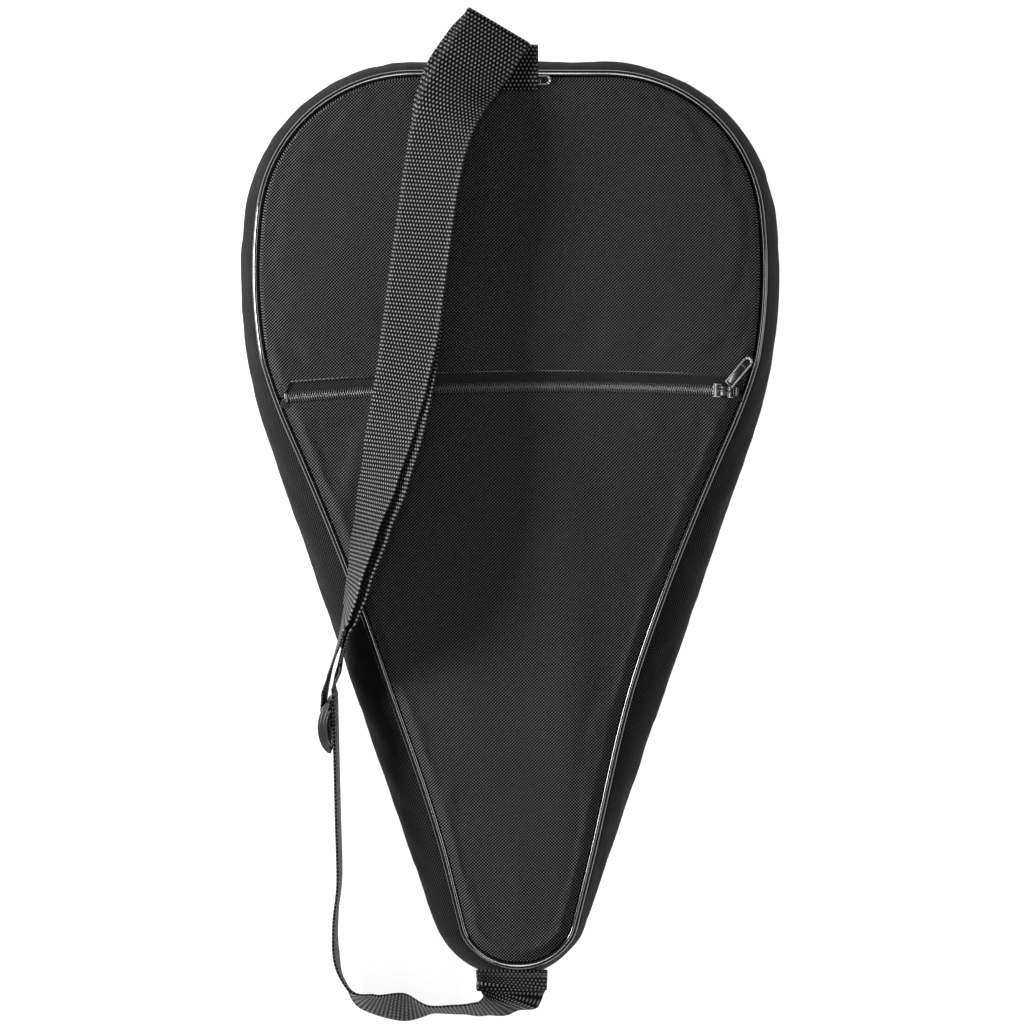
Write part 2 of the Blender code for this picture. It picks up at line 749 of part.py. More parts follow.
def lower_layers():
    """The two layers below the hinge line: the front one to the adjuster, the rear one on to the tip."""
    clear = STRAP_SPLIT
    front = [f for f in framed(strap_curve()) if f[0].y < HINGE_Y - clear]
    ribbon("strap_front_run", front)
    rear = [f for f in rear_frames() if RUN_JOINS_Y < f[0].y < HINGE_Y - clear]
    stations = [(*rear[-1][0], 82)]
    stations += [(*run_place(distance * MM), roll) for distance, roll in RUN_STATIONS]
    stations += [(x * MM, y * MM, z * MM, roll) for x, y, z, roll in LOWER_RUN]
    ribbon("strap_long_run", rear[:-1] + framed(spline(stations)))


def bottom_anchor():
    """The sewn end of the strap at the tip, lying down the side wall from under the front piping."""
    stand_off = GAP + WEB_THICK
    frames = []
    across = Vector((1, 0, 0))
    for height in ANCHOR_HEIGHTS:
        level = (height - WALL[0]) / (WALL[1] - WALL[0])
        place = on_wall(len(OUTLINE) // 2, level * level, -stand_off)
        frames.append(Vector((ANCHOR_X, place.y, height)))
    tangent = (frames[-1] - frames[0]).normalized()
    normal = tangent.cross(across)
    ribbon("strap_bottom_anchor", [(spot, across, normal) for spot in frames], width=ANCHOR_WIDTH)


def rail_outline(half, low):
    """The plan of a rail in millimetres: bowed out on its left, a little hollow on its right."""
    count = 8
    reach = half + 0.8
    hollow = half - RAIL_FOOT / MM
    points = []
    for k in range(count + 1):
        x = half - 2 * half * k / count
        points.append((x, RAIL_BOW / MM * math.sqrt(1 - (x / reach) ** 2)))
    points.append((-half, low))
    for k in range(count + 1):
        x = hollow * (2 * k / count - 1)
        points.append((x, low + RAIL_HOLLOW / MM * math.cos(math.pi / 2 * x / hollow)))
    points.append((half, low))
    return points


def adjuster():
    """A three-bar slide. The sewn loop holds the middle bar and the long run passes behind the outer ones."""
    half_web = WEB_THICK / 2
    loop_radius = BAR_RADIUS + GAP + half_web
    middle = WEB_THICK + RUN_CLEAR + loop_radius
    outer = half_web + RUN_CLEAR + BAR_RADIUS
    # local x runs along the webbing and local y to its left
    rail_z = (ADJUSTER_HEIGHT - RAIL_THICK) / 2 / MM
    length, rail = ADJUSTER_LENGTH / MM, RAIL_THICK / MM
    bar, span = BAR_RADIUS / MM, (ADJUSTER_HEIGHT - RAIL_THICK) / MM
    end = length / 2 - bar
    outline = rail_outline(length / 2, outer / MM - bar)
    parts = [("prism", at(0, 0, z), (outline, rail)) for z in (rail_z, -rail_z)]
    parts.append(("cylinder", at(0, middle / MM, 0), (bar, span)))
    parts += [("cylinder", at(x, outer / MM, 0), (bar, span)) for x in (end, -end)]
    obj = joined("strap_adjuster", parts, black_plastic())
    axes = Matrix((RUN_DIRECTION, RUN_LEFT, -RUN_UP)).transposed().to_4x4()
    obj.matrix_world = Matrix.Translation(RUN_TOP) @ axes
    loop = []
    for k in range(2):
        loop.append((run_place(-LOOP_LEG * (1 - k), middle - loop_radius), RUN_UP, -RUN_LEFT))
    for k in range(1, 6):
        angle = math.pi * k / 6
        out = RUN_DIRECTION * math.sin(angle) - RUN_LEFT * math.cos(angle)
        loop.append((run_place(0, middle) + out * loop_radius, RUN_UP, out))
    for k in range(2):
        loop.append((run_place(-LOOP_LEG * k, middle + loop_radius), RUN_UP, RUN_LEFT))
    ribbon("strap_loop_end", loop)


def main():
    clear_scene()
    back_parts()
    side_wall()
    head_cover()
    lower_front()
    pocket_zip()
    main_zip()
    sliders()
    top_loop()
    top_tab()
    lower_layers()
    bottom_anchor()
    adjuster()


main()
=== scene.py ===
import math

import bmesh
import bpy
import numpy as np
from mathutils import Matrix, Vector, noise


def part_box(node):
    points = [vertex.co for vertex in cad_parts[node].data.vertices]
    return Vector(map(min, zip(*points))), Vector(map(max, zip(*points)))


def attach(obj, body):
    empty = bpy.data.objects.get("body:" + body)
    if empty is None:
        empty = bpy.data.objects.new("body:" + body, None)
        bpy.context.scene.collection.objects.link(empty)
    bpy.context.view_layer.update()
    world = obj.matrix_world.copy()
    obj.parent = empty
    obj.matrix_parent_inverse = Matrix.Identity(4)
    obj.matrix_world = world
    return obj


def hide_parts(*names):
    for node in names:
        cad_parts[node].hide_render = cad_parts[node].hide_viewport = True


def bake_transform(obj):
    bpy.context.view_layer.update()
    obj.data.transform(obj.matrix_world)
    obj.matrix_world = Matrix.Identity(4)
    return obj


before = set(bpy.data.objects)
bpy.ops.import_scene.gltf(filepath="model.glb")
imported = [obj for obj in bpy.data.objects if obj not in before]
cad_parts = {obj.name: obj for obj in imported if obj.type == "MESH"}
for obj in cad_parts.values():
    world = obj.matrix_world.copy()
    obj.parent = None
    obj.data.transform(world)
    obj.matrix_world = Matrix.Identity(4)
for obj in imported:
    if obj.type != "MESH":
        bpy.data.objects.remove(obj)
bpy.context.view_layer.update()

MM = 0.001

# Outline of the back, and how the front edge lies inside it
TOP_Y, TOP_HALF_FLAT = 249.3 * MM, 50.5 * MM
HEAD_RADIUS, HEAD_SWEEP = 94 * MM, math.radians(83.3)
FLANK_RADIUS, FLANK_SWEEP = 278 * MM, math.radians(25.7)
SIDE_LENGTH = 275 * MM
HEAD_LEAN, WAIST_LEAN = 9 * MM, 9.5 * MM
WAIST_Y, WAIST_REACH = -70 * MM, 155 * MM
TIP_SWAY, SWAY_FROM_Y, SWAY_TO_Y = 4.5 * MM, -80 * MM, -190 * MM
HINGE_Y = 87 * MM

# Cloth: its thickness, how far its front edge lies inside the piping's line, its edges at the pocket zip, and
# what it is stretched over
CLOTH_THICK, POCKET_THICK = 1.2 * MM, 1.1 * MM
FRONT_INSET, GROOVE_INSET = 3.9 * MM, 5.6 * MM
OVER_MAIN_ZIP = (80 * MM, 100 * MM)
WELT_OFFSET, POCKET_OFFSET = 7.4 * MM, 2.9 * MM
TAB_FLAT_Z = 46.6 * MM
SIDE_LOW_Z, SIDE_HIGH_Z = 3.4 * MM, 41.4 * MM
LEAN_FROM_Z, LEAN_OVER_Z = 4.2 * MM, 35.8 * MM
SIDE_INNER_INSET = 2.4 * MM
SEAM_GAP = 0.25 * MM
STITCH_PITCH, STITCH_LENGTH, STITCH_RADIUS = 2.4 * MM, 2.35 * MM, 0.26 * MM
SETTLE_STEPS, SETTLE_PUSH, SETTLE_SLACK, SETTLE_CAP = 25, 1.2, 0.004, 1.2 * MM
PIPING_RADIUS, BACK_PIPING_Z, FRONT_PIPING_Z = 1.9 * MM, 2.1 * MM, 42.2 * MM

# Inner layers: piece, node, kind, share up the wall, inset, part of the outline, top, thickness (mm)
LAYERS = [
    ("lid_foam", "head_padding", "foam", 1, 9.3, "head", 44.95, 2.1),
    ("lid_lining", "head_lining", "lining", 1, 8.0, "head", 41.55, 0.9),
    ("pocket_back", "pocket_inner_wall", "cloth", 1, 1.9, "low", 39.2, 1.2),
    ("front_foam", "lower_front_padding", "foam", 1, 1.9, "low", 37.65, 3.1),
    ("front_lining", "lower_front_lining", "lining", 1, 1.9, "low", 34.2, 0.8),
    ("back_foam", "back_padding", "foam", 0, 4.8, "whole", 4.95, 3.4),
    ("inside_lining", "back_lining", "lining", 0, 5.2, "whole", 6.1, 0.8),
]

# Zips: the pocket's arc, the main zip's rows, and the sliders with their pulls
ZIP_X, ZIP_Y, ZIP_RADIUS = 24 * MM, 72.1 * MM, 1690 * MM
ZIP_ENDS = (-117 * MM, 118.6 * MM)
POCKET_ROW = {"width": 2.6 * MM, "height": 1.9 * MM, "z": 45.7 * MM, "pitch": 1.25 * MM}
MAIN_ROW = {"width": 2.0 * MM, "height": 2.1 * MM, "z": 42.8 * MM, "pitch": 1.5 * MM}
MAIN_ROW_INSET = 6.2 * MM
TAPE_THICK, MAIN_TAPE_Z = 0.6 * MM, 41.9 * MM
STOP_SIZE, STOP_GAP, STOP_Z = (1.8, 5.4, 1.9), 1.3 * MM, 46.8 * MM
POCKET_SLIDER_X, POCKET_SLIDER_Z = 112.8 * MM, 47.9 * MM
POCKET_SLIDER_WIDTH, POCKET_SLIDER_DROP = 7.6, 2.4
POCKET_PULL_TURN, POCKET_PULL_TILT = math.radians(50), math.radians(3)
MAIN_SLIDER_Y, MAIN_SLIDER_Z = 234.1 * MM, 45.3 * MM
MAIN_SLIDER_X = {"right": -0.8 * MM, "left": -16.5 * MM}
PULL_RISE, MAIN_PULL_LIFT = 2.05 * MM, 0.3 * MM

# Webbing, and the strap from its top fold down: the front layer's middle (x, y, z), its roll,
# and the rear layer's offset and gap
WEB_HALF, WEB_THICK, TAB_THICK = 19 * MM, 1.4 * MM, 1.2 * MM
FLOAT_LENGTH, FLOAT_WIDTH = 2.1 * MM, 2.15 * MM
STRAP_STATIONS = [
    (-6.3, 260.8, 54.4, 0, 0, 2.4), (-13.9, 248.1, 54.8, 2, -3, 2.4), (-22.6, 235, 55.6, 8, -4, 2.4),
    (-30.4, 221, 59, 19, -3, 2.4), (-35.6, 206, 61.8, 29, -2, 2.4), (-39.8, 188, 64, 34, -1.5, 2.4),
    (-43, 168, 64.2, 36, -1.5, 2.4), (-47.8, 133.2, 64.2, 35, -1.5, 2.4), (-52, 101.6, 63.8, 35, -0.5, 2.4),
    (-56.6, 75.3, 63.2, 40, 2.2, 2.4), (-62.5, 48.9, 64, 46, 4.4, 2.6), (-68.5, 22.6, 65.5, 56, 5, 3.6),
    (-75.4, -3.8, 66, 67, 3.5, 5), (-81.3, -30.1, 66, 76, 1.5, 4.6), (-84.9, -45, 63.5, 79, 0.5, 3.6),
    (-87.2, -52, 60, 83, 0, 3), (-91.6, -67, 47.5, 87, 0, 3.6), (-95.4, -78, 37.6, 88, 0, 4.8),
    (-98.4, -88, 32.6, 90, 0, 5.4),
]
STRAP_CUT_Y, RUN_JOINS_Y = 30 * MM, -70 * MM
UPRIGHT, UPRIGHT_FROM = 0.75, 70

# Long run: straight through the adjuster (distance along it and roll), then on to the tip
RUN_TOP = Vector((-93.2 * MM, -107 * MM, 30.2 * MM))
RUN_DIRECTION = Vector((1.7, -80, -3.6)).normalized()
RUN_LEFT = Vector((RUN_DIRECTION.y, -RUN_DIRECTION.x, 0)).normalized()
RUN_UP = RUN_LEFT.cross(RUN_DIRECTION)
RUN_STATIONS = [(-22, 87), (-15, 90), (-5, 90), (20, 90), (50, 90), (84, 90)]
LOWER_RUN = [
    (-93.6, -212.0, 24.4, 90), (-93.4, -232.0, 22.6, 90), (-88.2, -248.6, 21.2, 84),
    (-76.0, -258.2, 19.8, 66), (-58.0, -261.0, 18.6, 58), (-41.0, -262.2, 19.6, 76),
    (-27.0, -262.0, 20.6, 74), (-15.5, -261.6, 21.2, 70), (-6.0, -258.6, 22.4, 58),
    (-0.5, -253.4, 25.2, 24), (1.0, -247.4, 28.8, 4),
]
TAB_PROFILE = [
    (229.0, 47.5), (230.6, 49.0), (233.5, 50.1), (238.5, 50.3), (244.5, 49.6), (249.5, 48.6),
    (252.6, 46.6), (252.6, 44.2), (250.0, 43.0),
]

# Adjuster in millimetres, on its edge: along the strap, its rails are bowed out to the left
SLIDE_HEIGHT, RAIL_THICK, RAIL_HALF, RAIL_LOW, RAIL_BOW = 49.5, 3.4, 13.5, 1.2, 8.2
RAIL_HOLLOW, RAIL_FOOT = 0.9, 2.4
BAR_RADIUS, OUTER_BAR_PLACES = 1.2, (12.3, -12.3)
MIDDLE_BAR, OUTER_BAR = 4.1 * MM, 2.4 * MM
LOOP_LEG, LOOP_RADIUS = 9 * MM, 2.2 * MM

# Setting: the floor just under the object, and the photograph's camera straight above it
FLOOR_HALF, FLOOR_Z = 6, -0.6 * MM
CAMERA_PLACE, CAMERA_LENS = (0.0011, 0.0057, 1.6), 103.2
LAMPS = [
    # name, place, size, power
    ("key", (-0.6, -1.3, 0.9), (0.4, 0.4), 4),
    ("left", (-1.3, 0.2, 0.58), (0.45, 0.45), 44),
    ("right", (1.3, 0.1, 0.8), (0.4, 0.4), 4),
    ("strip", (0.0, -0.05, 1.9), (0.2, 1.4), 11),
]


# ---------------------------------------------------------------- materials

class Nodes:
    """A short way to write a material's node tree."""

    def __init__(self, name, roughness, metallic=0.0, **sockets):
        self.mat = bpy.data.materials.new(name)
        self.mat.use_nodes = True
        self.tree = self.mat.node_tree
        self.shader = self.tree.nodes["Principled BSDF"]
        self.shader.inputs["Roughness"].default_value = roughness
        self.shader.inputs["Metallic"].default_value = metallic
        for socket, value in sockets.items():
            self.shader.inputs[socket.replace("_", " ")].default_value = value

    def add(self, kind, **settings):
        node = self.tree.nodes.new(kind)
        for key, value in settings.items():
            setattr(node, key, value)
        return node

    def link(self, output, socket):
        self.tree.links.new(output, socket)

    def math(self, operation, a, b=0.0):
        node = self.add("ShaderNodeMath", operation=operation)
        for socket, value in zip(node.inputs, (a, b)):
            if isinstance(value, (int, float)):
                socket.default_value = value
            else:
                self.link(value, socket)
        return node.outputs[0]

    def uv(self):
        parts = self.add("ShaderNodeSeparateXYZ")
        self.link(self.add("ShaderNodeUVMap", uv_map="UVMap").outputs[0], parts.inputs[0])
        return parts.outputs[0], parts.outputs[1]

    def noise(self, scale, detail=2.0, roughness=0.5, stretch=None):
        texture = self.add("ShaderNodeTexNoise")
        texture.inputs["Scale"].default_value = scale
        texture.inputs["Detail"].default_value = detail
        texture.inputs["Roughness"].default_value = roughness
        place = self.add("ShaderNodeTexCoord").outputs["Object"]
        if stretch:
            mapping = self.add("ShaderNodeMapping")
            mapping.inputs["Scale"].default_value = stretch
            self.link(place, mapping.inputs["Vector"])
            place = mapping.outputs[0]
        self.link(place, texture.inputs["Vector"])
        return texture.outputs["Fac"]

    def ramp(self, value, stops):
        """A colour ramp. Each stop is a place and a colour, or one number for a grey."""
        node = self.add("ShaderNodeValToRGB")
        elements = node.color_ramp.elements
        while len(elements) < len(stops):
            elements.new(0.5)
        for element, (place, colour) in zip(elements, stops):
            element.position = place
            element.color = (*colour, 1) if isinstance(colour, tuple) else (colour, colour, colour, 1)
        self.link(value, node.inputs[0])
        return node.outputs[0]

    def colour(self, output):
        self.link(output, self.shader.inputs["Base Color"])

    def ranged(self, value, low, high, socket="Roughness"):
        node = self.add("ShaderNodeMapRange")
        node.inputs["To Min"].default_value = low
        node.inputs["To Max"].default_value = high
        self.link(value, node.inputs["Value"])
        self.link(node.outputs[0], self.shader.inputs[socket])

    def bump(self, height, strength, distance, under=None):
        node = self.add("ShaderNodeBump")
        node.inputs["Strength"].default_value = strength
        node.inputs["Distance"].default_value = distance
        self.link(height, node.inputs["Height"])
        if under:
            self.link(under, node.inputs["Normal"])
        self.link(node.outputs[0], self.shader.inputs["Normal"])
        return node.outputs[0]


def woven(name, light, dark, pitch, depth, roughness):
    """Plain weave: a fine diagonal lattice of thread crests, with uneven dye and slubs."""
    n = Nodes(name, roughness, Sheen_Weight=0.02, Sheen_Roughness=0.5)
    u, v = n.uv()
    slub = n.noise(900, 2, 0.6)
    cloud = n.noise(16, 3, 0.6)
    a = n.math("MULTIPLY", u, 2 * math.pi / pitch)
    b = n.math("MULTIPLY", v, 2 * math.pi / pitch)
    rising = n.math("COSINE", n.math("SUBTRACT", a, b))
    falling = n.math("COSINE", n.math("ADD", a, b))
    share = n.math("MULTIPLY", n.math("SUBTRACT", cloud, 0.15), 0.5)
    crest = n.math("SUBTRACT", n.math("MULTIPLY", rising, 0.27), n.math("MULTIPLY", falling, share))
    weave = n.math("ADD", n.math("ADD", crest, 0.36), n.math("MULTIPLY", slub, 0.25))
    n.colour(n.ramp(weave, [(0.34, dark), (0.56, light * 0.2), (0.84, light)]))
    n.ranged(weave, 0.0, 0.12, "Specular IOR Level")
    n.ranged(weave, roughness + 0.15, roughness - 0.12)
    soft = n.bump(cloud, 0.2, 0.8 * MM)
    n.bump(weave, 0.8, depth, under=soft)
    return n.mat


def ribbed_webbing(name, light, dark):
    """Webbing: rows of rounded yarn floats, each row half a float on from the next, with tight selvedges."""
    n = Nodes(name, 0.42, Sheen_Weight=0.02, Sheen_Roughness=0.4)
    u, v = n.uv()
    along = n.math("DIVIDE", v, FLOAT_LENGTH)
    row = n.math("FLOOR", along)
    across = n.math("ADD", n.math("DIVIDE", u, FLOAT_WIDTH), n.math("MULTIPLY", row, 0.5))
    float_u = n.math("ABSOLUTE", n.math("SINE", n.math("MULTIPLY", across, math.pi)))
    float_v = n.math("ABSOLUTE", n.math("SINE", n.math("MULTIPLY", along, math.pi)))
    selvedge = n.add("ShaderNodeMapRange")
    selvedge.inputs["From Min"].default_value = WEB_HALF - 4.5 * MM
    selvedge.inputs["From Max"].default_value = WEB_HALF - 2 * MM
    n.link(n.math("ABSOLUTE", u), selvedge.inputs["Value"])
    tight = n.math("MULTIPLY", selvedge.outputs[0], 0.65)
    crown = n.math("MAXIMUM", n.math("POWER", float_u, 1.6), tight)
    grain = n.math("MULTIPLY", crown, n.math("POWER", float_v, 0.9))
    fibre = n.noise(2200, 2, 0.6)
    tone = n.math("ADD", n.math("MULTIPLY", grain, 0.85), n.math("MULTIPLY", fibre, 0.2))
    n.colour(n.ramp(tone, [(0.46, dark), (0.7, light * 0.25), (0.94, light)]))
    n.ranged(tone, 0.75, 0.32)
    n.ranged(tone, 0.0, 0.35, "Specular IOR Level")
    n.bump(n.math("ADD", grain, n.math("MULTIPLY", fibre, 0.1)), 0.9, 0.5 * MM)
    return n.mat


def vinyl(name, value, roughness):
    """Glossy vinyl skin with a faint grain."""
    n = Nodes(name, roughness, Specular_IOR_Level=0.5, Coat_Weight=1.0, Coat_Roughness=0.1)
    grain = n.noise(700, 3, 0.6)
    n.colour(n.ramp(n.noise(35, 2), [(0.3, value * 0.8), (0.7, value * 1.25)]))
    n.ranged(grain, roughness - 0.03, roughness + 0.05)
    n.bump(grain, 0.04, 0.1 * MM)
    return n.mat


def moulded(name, value, roughness, grain_scale, relief):
    """Moulded plastic with a fine grain, lighter and duller where it has rubbed."""
    n = Nodes(name, roughness, Specular_IOR_Level=0.6)
    grain = n.noise(grain_scale, 2, 0.5)
    wear = n.noise(60, 4, 0.65)
    n.colour(n.ramp(wear, [(0.35, value), (0.8, value * 2.1)]))
    n.ranged(wear, roughness - 0.06, roughness + 0.14)
    n.bump(grain, relief, 0.1 * MM)
    return n.mat


def enamel(name, value):
    """Enamel on cast metal, rubbed a little lighter in places; in a light grey it is a painted highlight."""
    n = Nodes(name, 0.3, 0.25, Coat_Weight=0.8, Coat_Roughness=0.1)
    wear = n.noise(240, 4, 0.7)
    n.colour(n.ramp(wear, [(0.45, value), (0.78, value * 1.8)]))
    n.ranged(wear, 0.16, 0.3)
    n.bump(n.noise(900, 2), 0.12, 0.08 * MM)
    return n.mat


def foam_rubber(name):
    """Pale foam with open pores."""
    n = Nodes(name, 0.95)
    pores = n.add("ShaderNodeTexVoronoi")
    pores.inputs["Scale"].default_value = 900
    n.link(n.add("ShaderNodeTexCoord").outputs["Object"], pores.inputs["Vector"])
    n.colour(n.ramp(pores.outputs["Distance"], [(0.1, (0.42, 0.42, 0.41)), (0.6, (0.62, 0.62, 0.6))]))
    n.bump(pores.outputs["Distance"], 0.6, 0.4 * MM)
    return n.mat


def thread(name):
    """Sewing thread with its ply, lighter than the cloth: partly its own colour, partly a painted highlight
    along the welt's fold.
    """
    n = Nodes(name, 0.5, Sheen_Weight=0.3)
    ply = n.noise(1500, 2, 0.5, stretch=(1, 3, 1))
    n.colour(n.ramp(ply, [(0.3, 0.06), (0.7, 0.15)]))
    n.bump(ply, 0.5, 0.15 * MM)
    return n.mat


FABRIC = woven("case_cloth", 0.1, 0.0004, 1.75 * MM, 0.3 * MM, 0.62)
# A darker copy of the case's cloth for the side wall: painted shade
SHADED_SIDE_FABRIC = woven("side_cloth_painted_shade", 0.017, 0.0004, 1.75 * MM, 0.25 * MM, 0.7)
TAPE = woven("zip_tape_weave", 0.06, 0.0006, 1.5 * MM, 0.12 * MM, 0.7)
LINING = woven("lining_weave", 0.07, 0.012, 0.8 * MM, 0.08 * MM, 0.62)
WEBBING = ribbed_webbing("strap_webbing", 0.2, 0.0003)
PIPING = vinyl("piping_vinyl_skin", 0.004, 0.15)
COIL = moulded("coil_nylon", 0.055, 0.2, 900, 0.04)
PLASTIC = moulded("adjuster_moulding", 0.012, 0.3, 420, 0.08)
METAL = enamel("black_enamel", 0.012)
# Light grey enamel on the pulls' rails and the slider's edges: a painted highlight
HIGHLIGHT_ENAMEL = enamel("painted_highlight_enamel", 0.3)
FOAM = foam_rubber("open_foam")
# Thread lighter than the cloth: its own colour, and partly a painted highlight along the welt's fold
THREAD_WITH_HIGHLIGHT = thread("sewing_thread_painted_highlight")


# ---------------------------------------------------------------- meshes

def smooth_step(low, high, value):
    t = np.clip((value - low) / (high - low), 0, 1)
    return t * t * (3 - 2 * t)


def linked(name, data):
    obj = bpy.data.objects.new(name, data)
    bpy.context.scene.collection.objects.link(obj)
    return obj


def as_object(name, verts, faces, mat, uvs=None, smooth=True, weld=False, sharp=None):
    """A mesh object. uvs has one entry for each vertex, in metres along the cloth. sharp is in degrees."""
    verts = np.asarray(verts)
    mesh = bpy.data.meshes.new(name)
    mesh.from_pydata(verts.tolist(), [], faces if isinstance(faces, list) else faces.tolist())
    mesh.materials.append(mat)
    if uvs is None:
        uvs = verts[:, :2]
    corners = np.zeros(len(mesh.loops), np.int32)
    mesh.loops.foreach_get("vertex_index", corners)
    layer = mesh.uv_layers.new(name="UVMap")
    layer.data.foreach_set("uv", uvs.astype(np.float32)[corners].ravel())
    bm = bmesh.new()
    bm.from_mesh(mesh)
    if weld:
        bmesh.ops.remove_doubles(bm, verts=bm.verts, dist=1e-6)
    bmesh.ops.recalc_face_normals(bm, faces=bm.faces)
    bm.to_mesh(mesh)
    bm.free()
    if smooth:
        mesh.shade_smooth()
    if sharp:
        mesh.set_sharp_from_angle(angle=math.radians(sharp))
    return linked(name, mesh)


def quads(rows, cols, wrap_rows=False):
    """Faces of a grid of rows by cols vertices. wrap_rows also joins the last row to the first."""
    across, down = np.meshgrid(np.arange(cols - 1), np.arange(rows if wrap_rows else rows - 1))
    below = (down + 1) % rows
    return np.stack([down * cols + across, down * cols + across + 1,
                     below * cols + across + 1, below * cols + across], -1).reshape(-1, 4)


def lengths(points):
    """Distance along a line of points, from its start."""
    steps = np.linalg.norm(np.diff(points, axis=0), axis=1)
    return np.concatenate([[0], np.cumsum(steps)])


def resample(points, pitch):
    """Evenly spaced points along a line, and their tangents."""
    points = np.asarray(points, float)
    along = lengths(points)
    spots = np.arange(pitch / 2, along[-1], pitch)

    def at(s):
        return np.stack([np.interp(s, along, points[:, k]) for k in range(points.shape[1])], -1)

    tangents = at(spots + pitch / 2) - at(spots - pitch / 2)
    return at(spots), tangents / np.linalg.norm(tangents, axis=1)[:, None]


def tube_grid(line, radii, up, sides):
    """Rings of a tube along a short line of points, as an array of rings by sides by xyz."""
    line = [Vector(p) for p in line]
    rings = []
    for i, spot in enumerate(line):
        tangent = (line[min(i + 1, len(line) - 1)] - line[max(i - 1, 0)]).normalized()
        across = tangent.cross(up).normalized()
        over = across.cross(tangent)
        rings.append([spot + (across * math.cos(a) + over * math.sin(a)) * radii[i]
                      for a in (2 * math.pi * k / sides for k in range(sides))])
    return np.array(rings)


def tube_faces(rings, sides):
    faces = []
    for i in range(rings - 1):
        for k in range(sides):
            j = (k + 1) % sides
            faces.append([i * sides + k, i * sides + j, (i + 1) * sides + j, (i + 1) * sides + k])
    return np.array(faces)


def repeated(name, grid, places, tangents, outs, ups, mat):
    """One mesh of many copies of a small tube. Its x runs along the tangent, y along out and z along up."""
    rings, sides = grid.shape[:2]
    flat = grid.reshape(-1, 3)
    axes = np.stack([tangents, outs, ups], 1)
    verts = places[:, None, :] + np.einsum("vk,nkj->nvj", flat, axes)
    faces = tube_faces(rings, sides)
    faces = (faces[None] + (np.arange(len(places)) * len(flat))[:, None, None]).reshape(-1, 4)
    return as_object(name, verts.reshape(-1, 3), faces, mat)


def stitches(name, line):
    """A row of sewn stitches, seen from above, along a line of points."""
    places, tangents = resample(line, STITCH_PITCH)
    ups = np.tile([0.0, 0.0, 1.0], (len(places), 1))
    outs = np.cross(ups, tangents)
    outs /= np.linalg.norm(outs, axis=1)[:, None]
    ups = np.cross(tangents, outs)
    half, radius, dip = STITCH_LENGTH / 2, STITCH_RADIUS, 0.25 * MM
    shape = [(-half, 0, -dip), (-half * 0.8, 0, 0), (0, 0, 0.1 * MM), (half * 0.8, 0, 0), (half, 0, -dip)]
    grid = tube_grid(shape, [radius * 0.5, radius, radius, radius, radius * 0.5], Vector((0, 1, 0)), 6)
    return repeated(name, grid, places, tangents, outs, ups, THREAD_WITH_HIGHLIGHT)


# ---------------------------------------------------------------- the case's outline

def outline(step):
    """The closed back outline, clockwise from the top centre: points, outward normals, top corner's index."""
    points, normals = [], []

    def arc(centre, radius, start, sweep):
        count = max(3, round(radius * sweep / step))
        for i in range(count):
            angle = start - sweep * i / count
            normals.append((math.cos(angle), math.sin(angle)))
            points.append((centre[0] + radius * normals[-1][0], centre[1] + radius * normals[-1][1]))

    flat = round(TOP_HALF_FLAT / step)
    for i in range(flat):
        points.append((TOP_HALF_FLAT * i / flat, TOP_Y))
        normals.append((0, 1))
    head = (TOP_HALF_FLAT, TOP_Y - HEAD_RADIUS)
    arc(head, HEAD_RADIUS, math.pi / 2, HEAD_SWEEP)
    turn = math.pi / 2 - HEAD_SWEEP
    shift = HEAD_RADIUS - FLANK_RADIUS
    flank = (head[0] + math.cos(turn) * shift, head[1] + math.sin(turn) * shift)
    arc(flank, FLANK_RADIUS, turn, FLANK_SWEEP)
    turn -= FLANK_SWEEP
    out = (math.cos(turn), math.sin(turn))
    start = (flank[0] + out[0] * FLANK_RADIUS, flank[1] + out[1] * FLANK_RADIUS)
    count = round(SIDE_LENGTH / step)
    for i in range(count):
        s = SIDE_LENGTH * i / count
        points.append((start[0] + out[1] * s, start[1] - out[0] * s))
        normals.append(out)
    foot = (start[0] + out[1] * SIDE_LENGTH, start[1] - out[0] * SIDE_LENGTH)
    radius = foot[0] / out[0]
    arc((0, foot[1] - out[1] * radius), radius, turn, turn + math.pi / 2)
    points.append((0, foot[1] - out[1] * radius - radius))
    normals.append((0, -1))
    points, normals = np.array(points), np.array(normals)
    mirror = np.array([-1, 1])
    points = np.concatenate([points, (points * mirror)[1:-1][::-1]])
    normals = np.concatenate([normals, (normals * mirror)[1:-1][::-1]])
    return points, normals, flat


EDGE, EDGE_OUT, CORNER = outline(2.6 * MM)
COUNT = len(EDGE)
TIP = COUNT // 2


def wall(share, inset=0.0):
    """Points of the leaning side wall: share 0 at the back edge, 1 at the front edge."""
    y = EDGE[:, 1]
    reach = np.clip((y - WAIST_Y) / WAIST_REACH, -1, 1)
    lean = HEAD_LEAN + WAIST_LEAN * np.cos(math.pi / 2 * reach)
    sway = TIP_SWAY * (1 - smooth_step(SWAY_TO_Y, SWAY_FROM_Y, y))
    moved = EDGE - EDGE_OUT * (lean * share + inset)[:, None]
    return moved + np.stack([sway * share, 0 * y], -1)


def side_lines(points):
    """Two functions of y: the left and the right boundary of a closed outline."""
    right = points[CORNER:TIP + 1][::-1]
    left = points[TIP:COUNT - CORNER + 1]

    def left_x(y):
        return np.interp(y, left[:, 1], left[:, 0])

    def right_x(y):
        return np.interp(y, right[:, 1], right[:, 0])

    return left_x, right_x


def zip_y(x, offset=0.0):
    return ZIP_Y - ZIP_RADIUS + np.sqrt((ZIP_RADIUS + offset) ** 2 - (x - ZIP_X) ** 2)


def spread(count, ease):
    """Values from 0 to 1, closer together near both ends."""
    t = np.linspace(0, 1, count)
    return (1 - ease) * t + ease * (1 - np.cos(math.pi * t)) / 2


